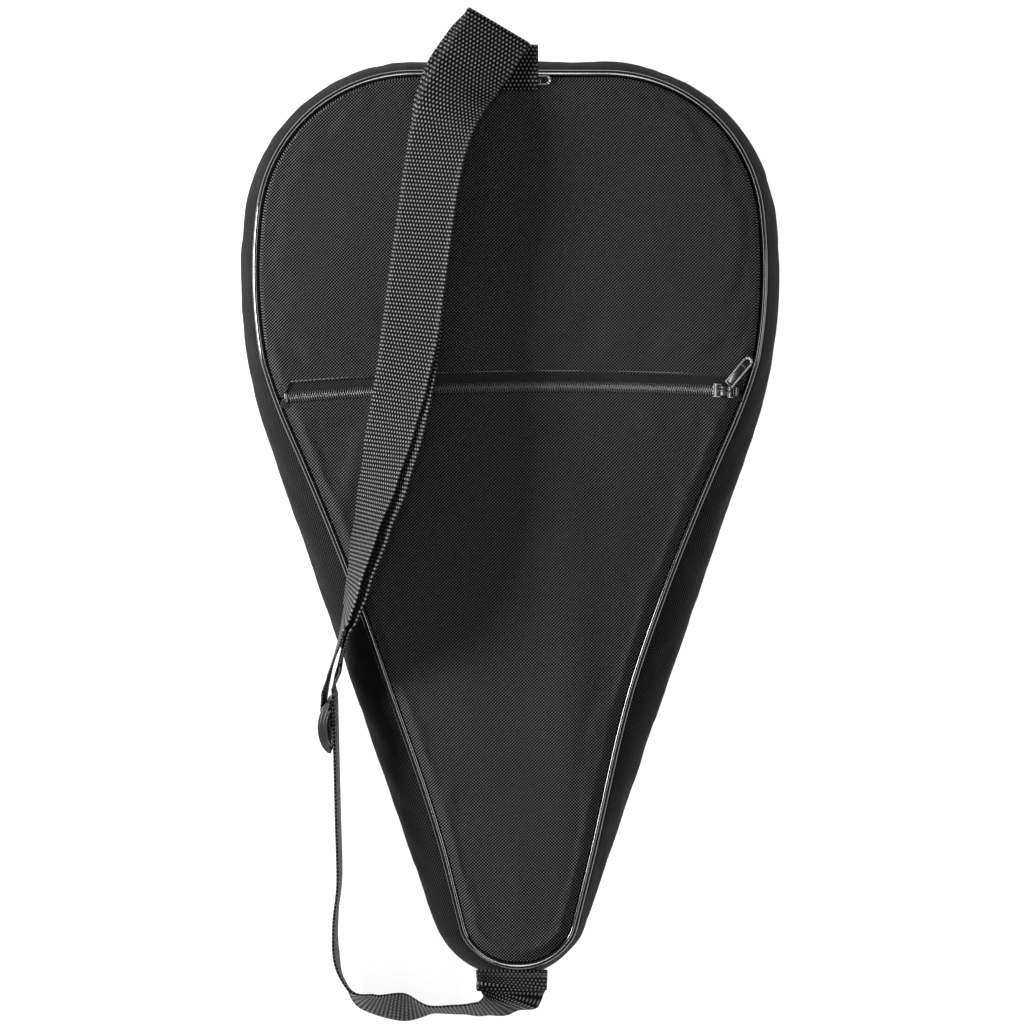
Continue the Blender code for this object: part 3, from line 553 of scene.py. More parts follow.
def panel_grid(outer, low, high, rows, cols):
    """Points in the plan of a panel between two lines across the case, within a closed outline."""
    sides = side_lines(outer)
    grid = np.zeros((rows, cols, 2))
    for k, v in enumerate(spread(rows, 0.85)):
        ends = []
        for side in sides:
            x = 0.0
            for _ in range(30):
                x = side(low(x) * (1 - v) + high(x) * v)
            ends.append(x)
        x = ends[0] + (ends[1] - ends[0]) * spread(cols, 0.85)
        grid[k] = np.stack([x, low(x) * (1 - v) + high(x) * v], -1)
    return grid


def rim(grid):
    """The closed line round a grid, as points close together."""
    loop = np.concatenate([grid[0], grid[1:, -1], grid[-1, -2::-1], grid[-2:0:-1, 0]])
    return resample(np.concatenate([loop, loop[:1]]), 0.6 * MM)[0]


def distance(grid, line):
    """Distance in plan from each point of a grid to the nearest point of a line."""
    flat = grid.reshape(-1, grid.shape[-1])[:, :2]
    found = [np.linalg.norm(part[:, None] - line[None], axis=2).min(1) for part in np.array_split(flat, 12)]
    return np.concatenate(found).reshape(grid.shape[:-1])


def ripple(x, y, scale, seed):
    """Smooth noise over the plan, from about -1 to 1."""
    flat = [noise.noise(Vector((a * scale, b * scale, seed))) for a, b in zip(x.ravel(), y.ravel())]
    return np.array(flat).reshape(x.shape) * 1.6


def settle(grid, held):
    """Cloth held where held is true and pushed out by the foam. It returns the grid as it comes to rest."""
    rows, cols = grid.shape[:2]
    cloth = as_object("settling", grid.reshape(-1, 3), quads(rows, cols), FABRIC)
    group = cloth.vertex_groups.new(name="seam")
    group.add([int(i) for i in np.flatnonzero(held.ravel())], 1.0, "REPLACE")
    settings = cloth.modifiers.new("cloth", "CLOTH").settings
    settings.quality = 6
    settings.mass = 0.2
    settings.tension_stiffness = 25
    settings.compression_stiffness = 25
    settings.shear_stiffness = 8
    settings.bending_stiffness = 2.5
    settings.vertex_group_mass = "seam"
    settings.use_pressure = True
    settings.uniform_pressure_force = SETTLE_PUSH
    settings.shrink_min = -SETTLE_SLACK
    settings.effector_weights.gravity = 0
    scene = bpy.context.scene
    for step in range(1, SETTLE_STEPS + 1):
        scene.frame_set(step)
    evaluated = cloth.evaluated_get(bpy.context.evaluated_depsgraph_get())
    moved = np.zeros(rows * cols * 3, np.float32)
    evaluated.data.vertices.foreach_get("co", moved)
    scene.frame_set(1)
    bpy.data.objects.remove(cloth, do_unlink=True)
    change = moved.reshape(grid.shape).astype(float) - grid
    size = np.linalg.norm(change, axis=2, keepdims=True)
    return grid + change * np.minimum(1, SETTLE_CAP / np.maximum(size, 1e-9))


def closed_sheet(name, top, thick, mat):
    """A sheet of cloth or foam with rounded edges, under a grid of points on its top face."""
    rows, cols = top.shape[:2]
    d = distance(top, rim(top[..., :2]))
    radius = thick / 2
    inside = np.clip(1 - d / radius, 0, 1)
    drop = radius * (1 - np.sqrt(1 - inside ** 2))
    upper, lower = top.copy(), top.copy()
    upper[..., 2] -= drop
    lower[..., 2] += drop - thick
    verts = np.concatenate([upper.reshape(-1, 3), lower.reshape(-1, 3)])
    base = quads(rows, cols)
    index = np.arange(rows * cols).reshape(rows, cols)
    loop = np.concatenate([index[0], index[1:, -1], index[-1, -2::-1], index[-2:0:-1, 0]])
    after = np.roll(loop, -1)
    side = np.stack([loop, after, after + rows * cols, loop + rows * cols], -1)
    faces = np.concatenate([base, base[:, ::-1] + rows * cols, side])
    return as_object(name, verts, faces, mat, uvs=verts[:, :2])


def fitted(piece, slot, body, *nodes):
    """Stand a piece in for CAD nodes, riding on a body. The slot is not used."""
    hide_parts(*nodes)
    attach(piece, body)


# ---------------------------------------------------------------- shell

def zip_mouth(x, open_by):
    """How far a cloth edge stands from the pocket zip's arc: it closes on the seam beyond the zip's ends."""
    return open_by * (1 - 0.93 * smooth_step(116 * MM, 119.6 * MM, np.abs(x)))


def front_cloth():
    """The head's cloth, in one with the strip above the pocket zip, where it turns under along a fold."""
    y = EDGE[:, 1]
    outer = wall(1, FRONT_INSET + (GROOVE_INSET - FRONT_INSET) * smooth_step(*OVER_MAIN_ZIP, y))
    top = outer[0, 1]

    def fold(x):
        return zip_y(x, zip_mouth(x, WELT_OFFSET))

    grid = panel_grid(outer, fold, lambda x: top + 0 * x, 84, 90)
    x, y = grid[..., 0], grid[..., 1]
    above = y - fold(x)
    d = distance(grid, rim(grid))
    side = distance(grid, np.concatenate([outer, outer[:1]]))
    low = 43.6 * MM + 2.9 * MM * smooth_step(*OVER_MAIN_ZIP, y)
    z = low + (46.9 * MM - low) * smooth_step(0, 5 * MM, side)
    z += 1.5 * MM * smooth_step(4 * MM, 55 * MM, d)
    z += 0.35 * MM * ripple(x, y, 22, 3.1) * smooth_step(4 * MM, 30 * MM, d)
    pucker = np.sin(x / (7.4 * MM) + 1.5 * np.sin(x / (31 * MM)))
    z += 0.16 * MM * smooth_step(14 * MM, 2 * MM, above) * pucker
    tab = smooth_step(27 * MM, 21 * MM, np.abs(x + 4 * MM)) * smooth_step(222 * MM, 227 * MM, y)
    z = np.minimum(z, TAB_FLAT_Z + (1 - tab) * 5 * MM)
    grid = np.concatenate([grid, z[..., None]], -1)
    held = (d < 5 * MM) | (above < 8 * MM) | (tab > 0)
    grid = settle(grid, held)
    cloth = closed_sheet("front_cloth", grid, CLOTH_THICK, FABRIC)
    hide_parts("head_panel", "pocket_welt")
    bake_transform(cloth)
    x = np.linspace(-116 * MM, 112 * MM, 120)
    line = np.stack([x, zip_y(x, WELT_OFFSET + 1.0 * MM)], -1)
    # Light stitches almost end to end above the fold: real stitching, and partly a painted highlight on the
    # fold
    row = stitches("welt_stitches", with_height(line, 46.7 * MM))
    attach(row, "case")


def pocket_cloth():
    """The pocket's cloth: tucked in at the piping, with a soft ridge down its right half."""
    outer = wall(1, FRONT_INSET)
    foot = outer[TIP, 1] + SEAM_GAP

    def mouth(x):
        return zip_y(x, -zip_mouth(x, POCKET_OFFSET))

    grid = panel_grid(outer, lambda x: foot + 0 * x, mouth, 110, 90)
    x, y = grid[..., 0], grid[..., 1]
    side = distance(grid, np.concatenate([outer, outer[:1]]))
    below = mouth(x) - y
    z = 43.5 * MM + 3.1 * MM * smooth_step(0, 6.5 * MM, side)
    z += 1.7 * MM * smooth_step(4 * MM, 40 * MM, side) * smooth_step(0, 45 * MM, below)
    ridge_x = 31 * MM + 0.03 * (-y)
    ridge = np.exp(-((x - ridge_x) / (13 * MM)) ** 2) * smooth_step(15 * MM, 70 * MM, below)
    trough = np.exp(-((x - ridge_x + 34 * MM) / (20 * MM)) ** 2) * smooth_step(15 * MM, 80 * MM, below)
    fade = smooth_step(2 * MM, 22 * MM, side)
    z += (1.6 * MM * ridge - 0.5 * MM * trough) * fade
    z += 0.4 * MM * ripple(x, y, 20, 7.7) * fade * smooth_step(4 * MM, 25 * MM, below)
    pucker = np.sin(x / (6.1 * MM) + 2 * np.sin(x / (40 * MM)))
    z += 0.14 * MM * smooth_step(12 * MM, 0, below) * pucker
    grid = np.concatenate([grid, z[..., None]], -1)
    d = distance(grid, rim(grid[..., :2]))
    held = (side < 5 * MM) | (below < 8 * MM) | (d < 2 * MM)
    grid = settle(grid, held)
    cloth = closed_sheet("pocket_cloth", grid, POCKET_THICK, FABRIC)
    fitted(cloth, "shell_fabric", "case", "pocket_panel")


def inner_layer(name, node, kind, share, inset, part, top, thick):
    """Foam or cloth between the front and the back: flat, with rounded edges, a little soft on top."""
    mat, slot = {"foam": (FOAM, "padding_foam"), "lining": (LINING, "lining_fabric"),
                 "cloth": (FABRIC, "shell_fabric")}[kind]
    outer = wall(share, inset * MM)
    foot, head = outer[TIP, 1] + SEAM_GAP, outer[0, 1]
    low = HINGE_Y + 0.6 * MM if part == "head" else foot
    high = HINGE_Y - 0.6 * MM if part == "low" else head
    grid = panel_grid(outer, lambda x: low + 0 * x, lambda x: high + 0 * x, 50, 40)
    soft = 0.12 * MM * ripple(grid[..., 0], grid[..., 1], 30, top)
    z = top * MM + soft * smooth_step(2 * MM, 15 * MM, distance(grid, rim(grid)))
    grid = np.concatenate([grid, z[..., None]], -1)
    pad = closed_sheet(name, grid, thick * MM, mat)
    fitted(pad, slot, "head_cover" if part == "head" else "case", node)


def back_cloth():
    """The back's cloth, flat, and a little raised towards its seam."""
    outer = wall(0, 3.6 * MM)
    foot, head = outer[TIP, 1] + SEAM_GAP, outer[0, 1]
    grid = panel_grid(outer, lambda x: foot + 0 * x, lambda x: head + 0 * x, 90, 60)
    d = distance(grid, rim(grid))
    z = 1.25 * MM + 0.9 * MM * smooth_step(7 * MM, 0, d)
    z += 0.06 * MM * ripple(grid[..., 0], grid[..., 1], 25, 1.3)
    grid = np.concatenate([grid, z[..., None]], -1)
    cloth = closed_sheet("back_cloth", grid, CLOTH_THICK, FABRIC)
    fitted(cloth, "shell_fabric", "case", "back_panel")


def ring_object(name, loops, mat, v_lengths):
    """A closed band round the case, of closed lines of as many points, joined in order and to the first."""
    around = lengths(np.concatenate([EDGE, EDGE[:1]]))
    grid = np.stack([np.concatenate([loop, loop[:1]]) for loop in loops])
    rows, cols = grid.shape[:2]
    uvs = np.stack(np.broadcast_arrays(around[None, :], np.array(v_lengths)[:, None]), -1)
    return as_object(name, grid.reshape(-1, 3), quads(rows, cols, True), mat, uvs.reshape(-1, 2), weld=True)


def with_height(points, z):
    return np.concatenate([points, np.broadcast_to(np.asarray(z, float), len(points))[:, None]], -1)


def wall_share(height):
    """How far the side wall has leant in at a height: little low down, most near the front edge."""
    return np.clip((height - LEAN_FROM_Z) / LEAN_OVER_Z, 0, 1) ** 2


def side_cloth():
    """The side wall: puffed a little between its seams, with pulled creases at the waist."""
    low, high = SIDE_LOW_Z, SIDE_HIGH_Z
    around = lengths(np.concatenate([EDGE, EDGE[:1]]))[:-1]
    total = lengths(np.concatenate([EDGE, EDGE[:1]]))[-1]
    anchor = smooth_step(46 * MM, 30 * MM, np.abs(around - around[TIP]))
    waist = np.exp(-((EDGE[:, 1] + 60 * MM) / (70 * MM)) ** 2)
    turn = 2 * math.pi * around / total
    loops, run = [], []
    levels = np.linspace(0, 1, 15)
    for s in levels:
        height = low + (high - low) * s
        slant = s * 1.6
        crease = [noise.noise(Vector((math.cos(a) * 11 + slant, math.sin(a) * 11 - slant, s * 1.1)))
                  for a in turn]
        fine = [noise.noise(Vector((math.cos(a) * 30, math.sin(a) * 30, s * 1.5 + 9))) for a in turn]
        puff = 0.45 * MM * math.sin(math.pi * s)
        folds = np.array(crease) * (0.9 + 1.3 * waist) * MM + np.array(fine) * 0.45 * MM
        out = puff + np.minimum(folds, 0.25 * MM) * math.sin(math.pi * s) ** 0.7
        out = out * (1 - anchor) - 0.1 * MM * anchor
        tuck = 2.2 * MM * smooth_step(0.94, 1.0, s) + 2.0 * MM * smooth_step(0.05, 0.0, s)
        loops.append(with_height(wall(wall_share(height), tuck - out), height))
        run.append(height)
    for s in levels[::-1]:
        height = low + 0.4 * MM + (high - low - 0.8 * MM) * s
        loops.append(with_height(wall(wall_share(height), SIDE_INNER_INSET), height))
        run.append(height)
    # The side wall is in the darker copy of the case's cloth, as painted shade
    cloth = ring_object("side_cloth", loops, SHADED_SIDE_FABRIC, run)
    fitted(cloth, "shell_fabric", "case", "gusset")


def piping(name, node, share, height):
    """A round cord in vinyl, a trifle uneven along its length."""
    sides, radius = 16, PIPING_RADIUS
    angles = [2 * math.pi * k / sides for k in range(sides)]
    wobble = np.array([noise.noise(Vector((p[0] * 60, p[1] * 60, height * 90))) for p in EDGE]) * 0.05 * MM
    reach = radius + wobble * 0.5
    loops = [with_height(wall(share, radius - reach * math.cos(a)), height + radius * math.sin(a))
             for a in angles]
    cord = ring_object(name, loops, PIPING, [radius * a for a in angles])
    fitted(cord, "piping_vinyl", "case", node)


# ---------------------------------------------------------------- zips

def tooth(width, height, pitch):
    """One turn of the coil: from the tape, over the top and down at the middle of the chain."""
    lean, thick, reach = 0.3 * pitch, 0.27 * pitch, 0.55 * MM
    line = [(lean, width, 0.25 * height), (lean * 0.7, width * 0.75, 0.72 * height),
            (0.1 * lean, width * 0.35, 0.8 * height), (-0.6 * lean, -0.2 * reach, 0.74 * height),
            (-lean, -reach, 0.45 * height), (-lean, -reach, 0.15 * height)]
    radii = [thick * share for share in (0.8, 1, 0.95, 1.1, 1.05, 0.6)]
    return tube_grid(line, radii, Vector((1, 0, 0)), 7)


def coil_row(name, node, line, side, row, shift, body):
    """A row of coil turns along a line in plan. side is 1 where the tape lies to the left of the line."""
    pitch = row["pitch"]
    places, tangents = resample(line, pitch)
    places = places + tangents * (pitch * shift)
    outs = np.stack([-tangents[:, 1], tangents[:, 0]], -1) * side
    ups = np.tile([0.0, 0.0, 1.0], (len(places), 1))
    turns = repeated(name, tooth(row["width"], row["height"], pitch), with_height(places, row["z"]),
                     with_height(tangents, 0), with_height(outs, 0), ups, COIL)
    fitted(turns, "zip_coil", body, node)


def tape(name, node, near, far, top_z, thick, body):
    """A woven tape sewn flat, between two lines in plan of as many points."""
    t = spread(9, 0.9)[:, None, None]
    plan = near[None] * (1 - t) + far[None] * t
    piece = closed_sheet(name, np.concatenate([plan, np.full((*plan.shape[:2], 1), top_z)], -1), thick, TAPE)
    fitted(piece, "zip_tape", body, node)


def pocket_zip():
    def arc(past_ends, offset=0.0):
        x = np.linspace(ZIP_ENDS[0] - past_ends, ZIP_ENDS[1] + past_ends, 120)
        return np.stack([x, zip_y(x, offset)], -1)

    for name, side, shift in (("upper", 1, 0.0), ("lower", -1, 0.5)):
        coil_row(f"pocket_teeth_{name}", f"pocket_zip_row_{name}", arc(0.4 * MM), side, POCKET_ROW, shift,
                 "case")
    for name, near, far, top_z, thick in (("upper", 1.2, 9.5, 45.9, 0.6), ("lower", -4.9, -1.2, 45.7, 0.5)):
        edges = arc(4.5 * MM, near * MM), arc(4.5 * MM, far * MM)
        tape(f"pocket_tape_{name}", f"pocket_zip_tape_{name}", *edges, top_z * MM, thick * MM, "case")
    for name, end in (("left", ZIP_ENDS[0] - STOP_GAP), ("right", ZIP_ENDS[1] + STOP_GAP)):
        slope = math.atan2(ZIP_X - end, ZIP_RADIUS)
        turn = Matrix.Translation((end, float(zip_y(end)), STOP_Z)) @ Matrix.Rotation(slope, 4, "Z")
        stop = joined(f"pocket_stop_{name}", [("box", (0, 0, 0), STOP_SIZE, 0.45)], METAL, turn)
        fitted(stop, "zip_metal", "case", f"pocket_zip_stop_{name}")


def head_lines(*insets):
    """Lines round the head inside the front edge, from the main zip's left end over the top to its right."""
    order = np.concatenate([np.arange(TIP, COUNT), np.arange(0, TIP)])
    lines = [wall(1, inset * MM)[order] for inset in insets]
    keep = lines[0][:, 1] > HINGE_Y + 2 * MM
    return [line[keep] for line in lines]


def main_zip():
    middle, = head_lines(MAIN_ROW_INSET / MM)
    for name, side, shift, body in (("outer", 1, 0.0, "case"), ("inner", -1, 0.5, "head_cover")):
        coil_row(f"main_teeth_{name}", f"main_zip_row_{name}", middle, side, MAIN_ROW, shift, body)
    for name, near, far, body in (("outer", 3.95, 5.9, "case"), ("inner", 6.8, 18, "head_cover")):
        tape(f"main_tape_{name}", f"main_zip_tape_{name}", *head_lines(near, far), MAIN_TAPE_Z + TAPE_THICK,
             TAPE_THICK, body)


def joined(name, parts, mat, place):
    """One object of softly bevelled boxes, prisms and rods, each in millimetres in the object's own frame."""
    total = bmesh.new()
    for kind, centre, size, soft in parts:
        bm = bmesh.new()
        if kind == "box":
            bmesh.ops.create_cube(bm, size=1)
            bmesh.ops.scale(bm, vec=size, verts=bm.verts)
        elif kind == "prism":
            points, depth = size
            face = bm.faces.new([bm.verts.new((x, y, -depth / 2)) for x, y in points])
            raised = bmesh.ops.extrude_face_region(bm, geom=[face])["geom"]
            moved = [v for v in raised if isinstance(v, bmesh.types.BMVert)]
            bmesh.ops.translate(bm, vec=(0, 0, depth), verts=moved)
            bmesh.ops.recalc_face_normals(bm, faces=bm.faces)
        else:
            thick, long = size
            bmesh.ops.create_cone(bm, cap_ends=True, segments=20, radius1=thick, radius2=thick, depth=long)
            if kind == "rod_y":
                bmesh.ops.transform(bm, matrix=Matrix.Rotation(math.pi / 2, 4, "X"), verts=bm.verts)
        if soft:
            sharp = [e for e in bm.edges if e.calc_face_angle(0) > 0.6]
            bmesh.ops.bevel(bm, geom=sharp, offset=soft, segments=3, affect="EDGES", profile=0.5)
        bmesh.ops.translate(bm, vec=centre, verts=bm.verts)
        mesh = bpy.data.meshes.new("part")
        bm.to_mesh(mesh)
        bm.free()
        total.from_mesh(mesh)
        bpy.data.meshes.remove(mesh)
    bmesh.ops.scale(total, vec=(MM, MM, MM), verts=total.verts)
    bmesh.ops.transform(total, matrix=place, verts=total.verts)
    mesh = bpy.data.meshes.new(name)
    total.to_mesh(mesh)
    total.free()
    mesh.materials.append(mat)
    mesh.shade_smooth()
    mesh.set_sharp_from_angle(angle=math.radians(50))
    return linked(name, mesh)


def slider_shape(width, drop):
    """The pocket's slider in millimetres: two shoulders, a narrow waist, its lug, its neck and back plate."""
    return [
        ("box", (-3.4, 0, 0.55), (4.4, width, 1.05), 0.42),
        ("box", (3.9, 0, 0.55), (3.4, width - 0.6, 1.05), 0.42),
        ("box", (0.3, 0, 0.5), (6.5, width - 2.2, 0.95), 0.3),
        ("box", (3.2, 0, -drop / 2), (4.0, 0.5, drop + 0.4), 0.1),
        ("box", (-2.0, 0, 1.9), (1.0, 1.1, 2.4), 0.25),
        ("box", (2.0, 0, 1.9), (1.0, 1.1, 2.4), 0.25),
        ("box", (0, 0, 3.1), (5.0, 1.1, 0.8), 0.3),
        ("box", (0, 0, -drop - 0.7), (10.4, width - 0.6, 0.95), 0.3),
    ]


def groove_slider_shape(piping_side):
    """A main slider in millimetres: a thin plate over the groove, its lug, and its neck in the groove."""
    return [
        ("box", (0, 0.9 * piping_side, 1.5), (11.2, 2.9, 0.4), 0.15),
        ("box", (3.2, 1.1 * piping_side, 0.5), (4.0, 0.5, 1.7), 0.1),
        ("box", (-2.0, 0, 2.3), (1.0, 1.1, 1.6), 0.25),
        ("box", (2.0, 0, 2.3), (1.0, 1.1, 1.6), 0.25),
        ("box", (0, 0, 3.15), (5.0, 1.1, 0.6), 0.25),
    ]


def slider_highlight_edges(width):
    """Thin strips along the pocket slider's shoulders, in light enamel as a painted highlight."""
    return [("box", (x, side * (width - 1) / 2, 1.2), (long, 0.4, 0.4), 0.15)
            for x, long in ((-3.5, 4.2), (3.9, 3.0)) for side in (1, -1)]


# The pull in millimetres: its bar in the lug, its arms and sunk plate, and the rails round it, in light
# enamel as a painted highlight
PULL_SHAPE = [
    ("rod_y", (0, 0, 0), (0.45, 6.2), 0.12),
    ("box", (1.9, 2.75, 0), (4.6, 0.8, 1.0), 0.25),
    ("box", (1.9, -2.75, 0), (4.6, 0.8, 1.0), 0.25),
    ("box", (4.6, 0, 0), (1.7, 6.2, 1.15), 0.35),
    ("box", (11.0, 0, -0.25), (12.6, 4.6, 0.35), 0.08),
    ("box", (16.9, 0, 0), (0.9, 4.4, 1.1), 0.3),
]
PULL_RAILS = [
    ("box", (12.3, 2.2, 0.1), (16.0, 0.8, 1.5), 0.38),
    ("box", (12.3, -2.2, 0.1), (16.0, 0.8, 1.5), 0.38),
    ("box", (21.9, 0, 0), (1.2, 2.6, 1.2), 0.4),
    ("box", (21.15, 1.55, 0), (1.4, 1.35, 1.2), 0.4),
    ("box", (21.15, -1.55, 0), (1.4, 1.35, 1.2), 0.4),
]


def sliders():
    """The three sliders with their pulls: each has a cast body, and where they show, light enamel edges as a
    painted highlight.
    """
    x, width = POCKET_SLIDER_X, POCKET_SLIDER_WIDTH
    slope = math.atan2(ZIP_X - x, ZIP_RADIUS)
    shape = slider_shape(width, POCKET_SLIDER_DROP)
    rows = [("pocket_slider", "pocket_pull", (x, float(zip_y(x)), POCKET_SLIDER_Z), slope, shape,
             slider_highlight_edges(width), 0, POCKET_PULL_TURN, POCKET_PULL_TILT)]
    for side, at_x in MAIN_SLIDER_X.items():
        facing, piping_side = (0, 1) if side == "right" else (math.pi, -1)
        rows.append((f"main_slider_{side}", f"main_pull_{side}", (at_x, MAIN_SLIDER_Y, MAIN_SLIDER_Z), facing,
                     groove_slider_shape(piping_side), [], MAIN_PULL_LIFT, facing, 0))
    for slider, pull, spot, turn, shape, edges, lift, pull_turn, tilt in rows:
        place = Matrix.Translation(spot) @ Matrix.Rotation(turn, 4, "Z")
        eye = Matrix.Translation((spot[0], spot[1], spot[2] + PULL_RISE + lift))
        eye = eye @ Matrix.Rotation(pull_turn, 4, "Z") @ Matrix.Rotation(tilt, 4, "Y")
        for node, solid, bright, axes in ((slider, shape, edges, place), (pull, PULL_SHAPE, PULL_RAILS, eye)):
            cast = joined(f"{node}_cast", solid, METAL, axes)
            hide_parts(node)
            pieces = [cast] + ([joined(f"{node}_painted_highlight_edges", bright, HIGHLIGHT_ENAMEL, axes)] if bright else [])
            for piece in pieces:
                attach(piece, node)


# ---------------------------------------------------------------- strap

def spline(stations, steps):
    """A smooth curve through stations of (x, y, z, roll, ...). All after z is eased between stations."""
    points = [Vector(s[:3]) for s in stations]
    extra = [s[3:] for s in stations]
    result, last = [], len(points) - 1
    for i in range(last):
        before, a, b, after = (points[min(max(k, 0), last)] for k in (i - 1, i, i + 1, i + 2))
        for step in range(steps + (i == last - 1)):
            t = step / steps
            spot = 0.5 * (2 * a + (b - before) * t + (2 * before - 5 * a + 4 * b - after) * t * t
                          + (3 * a - before - 3 * b + after) * t ** 3)
            ease = t * t * (3 - 2 * t)
            result.append((spot, *[u + (v - u) * ease for u, v in zip(extra[i], extra[i + 1])]))
    return result


def framed(curve):
    """Middle, width direction and face normal at each point of a curve. Webbing on edge stays upright."""
    frames = []
    for i, (spot, roll, *_) in enumerate(curve):
        tangent = (curve[min(i + 1, len(curve) - 1)][0] - curve[max(i - 1, 0)][0]).normalized()
        level = Vector((-tangent.y, tangent.x, 0)).normalized()
        tangent.z *= 1 - UPRIGHT * min(max((roll - UPRIGHT_FROM) / (90 - UPRIGHT_FROM), 0), 1)
        rise = level.cross(tangent).normalized()
        if rise.z < 0:
            rise = -rise
        angle = math.radians(roll)
        frames.append((spot, level * math.cos(angle) + rise * math.sin(angle),
                       rise * math.cos(angle) - level * math.sin(angle)))
    return frames


def bridge(a, b, steps):
    """Frames between two frames, without either."""
    found = []
    for k in range(1, steps):
        t = k / steps
        found.append(tuple((p * (1 - t) + q * t) if i == 0 else (p * (1 - t) + q * t).normalized()
                           for i, (p, q) in enumerate(zip(a, b))))
    return found


def webbing(name, frames, nodes, thick=WEB_THICK, curl=None):
    """A strap along frames: thin, with beaded selvedges. It returns the strap and its length."""
    half = WEB_HALF
    edge = half - 0.9 * MM
    rim_low = np.array([-half, -half + 0.25 * MM, -half + 0.8 * MM])
    across = np.concatenate([rim_low, np.linspace(-edge, edge, 17)[1:-1], -rim_low[::-1]])
    bead = np.interp(np.abs(across), [0, half - 2.2 * MM, half - 1.2 * MM, half - 0.3 * MM, half],
                     [1, 1, 1.12, 0.75, 0.12])
    upper = [(a, thick / 2 * b) for a, b in zip(across, bead)]
    profile = upper + [(a, -b) for a, b in upper[::-1]]
    spots = np.array([f[0] for f in frames])
    along = lengths(spots)
    grid = np.zeros((len(profile) + 1, len(frames), 3))
    uvs = np.zeros((len(profile) + 1, len(frames), 2))
    for j, (spot, width, normal) in enumerate(frames):
        for i, (a, b) in enumerate(profile + profile[:1]):
            drop = curl(a, spot) if curl else 0.0
            grid[i, j] = spot + width * a + normal * (b - drop)
            uvs[i, j] = (a, along[j])
    rows, cols = grid.shape[:2]
    caps = [[i * cols + end for i in range(len(profile))] for end in (0, cols - 1)]
    faces = quads(rows, cols).tolist() + caps
    strap = as_object(name, grid.reshape(-1, 3), faces, WEBBING, uvs.reshape(-1, 2), weld=True, sharp=60)
    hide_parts(*nodes)
    return strap, float(along[-1])


def run_place(distance_m, across=0.0):
    return RUN_TOP + RUN_DIRECTION * distance_m + RUN_LEFT * across


def strap():
    """The strap in three pieces: the two layers at the top, the front layer's lower end, and the long run."""
    curve = spline([(x * MM, y * MM, z * MM, roll, offset * MM, gap * MM)
                    for x, y, z, roll, offset, gap in STRAP_STATIONS], 9)
    front = framed(curve)
    rear = [(spot + width * offset - normal * gap, width, normal)
            for (spot, width, normal), (_, _, offset, gap) in zip(front, curve)]
    cut = next(i for i, f in enumerate(front) if f[0].y < STRAP_CUT_Y)

    # both layers from the cut up, joined by the fold over the top
    spot, width, normal = front[0]
    away = -(front[1][0] - spot).normalized()
    bend = (front[0][0] - rear[0][0]).length / 2
    centre = spot - normal * bend
    fold = []
    for k in range(1, 12):
        angle = math.pi * k / 12
        out = normal * math.cos(angle) + away * math.sin(angle)
        fold.append((centre + out * bend, width, out))
    under = [(s, w, -n) for s, w, n in rear[:cut + 1]]
    upper, length = webbing("strap_upper", front[:cut + 1][::-1] + fold + under, ["strap_top_loop"])
    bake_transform(upper)

    # front layer on to the adjuster, round its middle bar and back beside itself
    outer, inner = MIDDLE_BAR + LOOP_RADIUS, MIDDLE_BAR - LOOP_RADIUS
    loop = [(run_place(-LOOP_LEG * (1 - k / 3), outer), RUN_UP, RUN_LEFT) for k in range(4)]
    for k in range(1, 10):
        angle = math.pi * k / 10
        out = RUN_DIRECTION * math.sin(angle) + RUN_LEFT * math.cos(angle)
        loop.append((run_place(0, MIDDLE_BAR) + out * LOOP_RADIUS, RUN_UP, out))
    loop += [(run_place(-LOOP_LEG * k / 3, inner), RUN_UP, -RUN_LEFT) for k in range(4)]
    lower = front[cut:]
    lower += bridge(lower[-1], loop[0], 4) + loop
    piece, length = webbing("strap_lower_front", lower, ["strap_front_run", "strap_loop_end"])
    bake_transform(piece)

    # rear layer on through the adjuster to the tip, and up under the piping
    straight = [(*run_place(s * MM), roll) for s, roll in RUN_STATIONS]
    joins = [f for f in rear[cut:] if f[0].y > RUN_JOINS_Y]
    stations = [(*joins[-1][0], 82)] + straight + [tuple(c * MM for c in s[:3]) + (s[3],) for s in LOWER_RUN]
    onward = framed(spline(stations, 9))
    low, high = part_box("strap_bottom_anchor")
    width = Vector((1 if onward[-1][1].x > 0 else -1, 0, 0))
    anchor = [(Vector(((low.x + high.x) / 2, y, z)), width, Vector((0, -0.94, 0.34)))
              for y, z in ((low.y + 0.9 * MM, low.z + 0.6 * MM), (high.y - 1.1 * MM, high.z - 0.3 * MM),
                           (high.y + 0.6 * MM, high.z + 1.3 * MM))]
    whole = joins[:-1] + onward + bridge(onward[-1], anchor[0], 5) + anchor
    piece, length = webbing("strap_long", whole, ["strap_long_run", "strap_bottom_anchor"])
    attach(piece, "case")


def top_tab():
    """The tab that holds the strap, sewn to the head's cloth and folded back over the piping."""
    low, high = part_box("strap_top_tab")
    middle_x = (low.x + high.x) / 2
    curve = spline([(middle_x, y * MM, z * MM, 0) for y, z in TAB_PROFILE], 6)
    frames = []
    for i, (spot, _) in enumerate(curve):
        tangent = (curve[min(i + 1, len(curve) - 1)][0] - curve[max(i - 1, 0)][0]).normalized()
        frames.append((spot, Vector((1, 0, 0)), Vector((1, 0, 0)).cross(tangent)))

    def curl(a, spot):
        return 0.3 * MM * float(smooth_step(9 * MM, 19 * MM, a) * smooth_step(238.5 * MM, 245 * MM, spot.y))

    tab, length = webbing("strap_tab", frames, ["strap_top_tab"], thick=TAB_THICK, curl=curl)
    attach(tab, "head_cover")


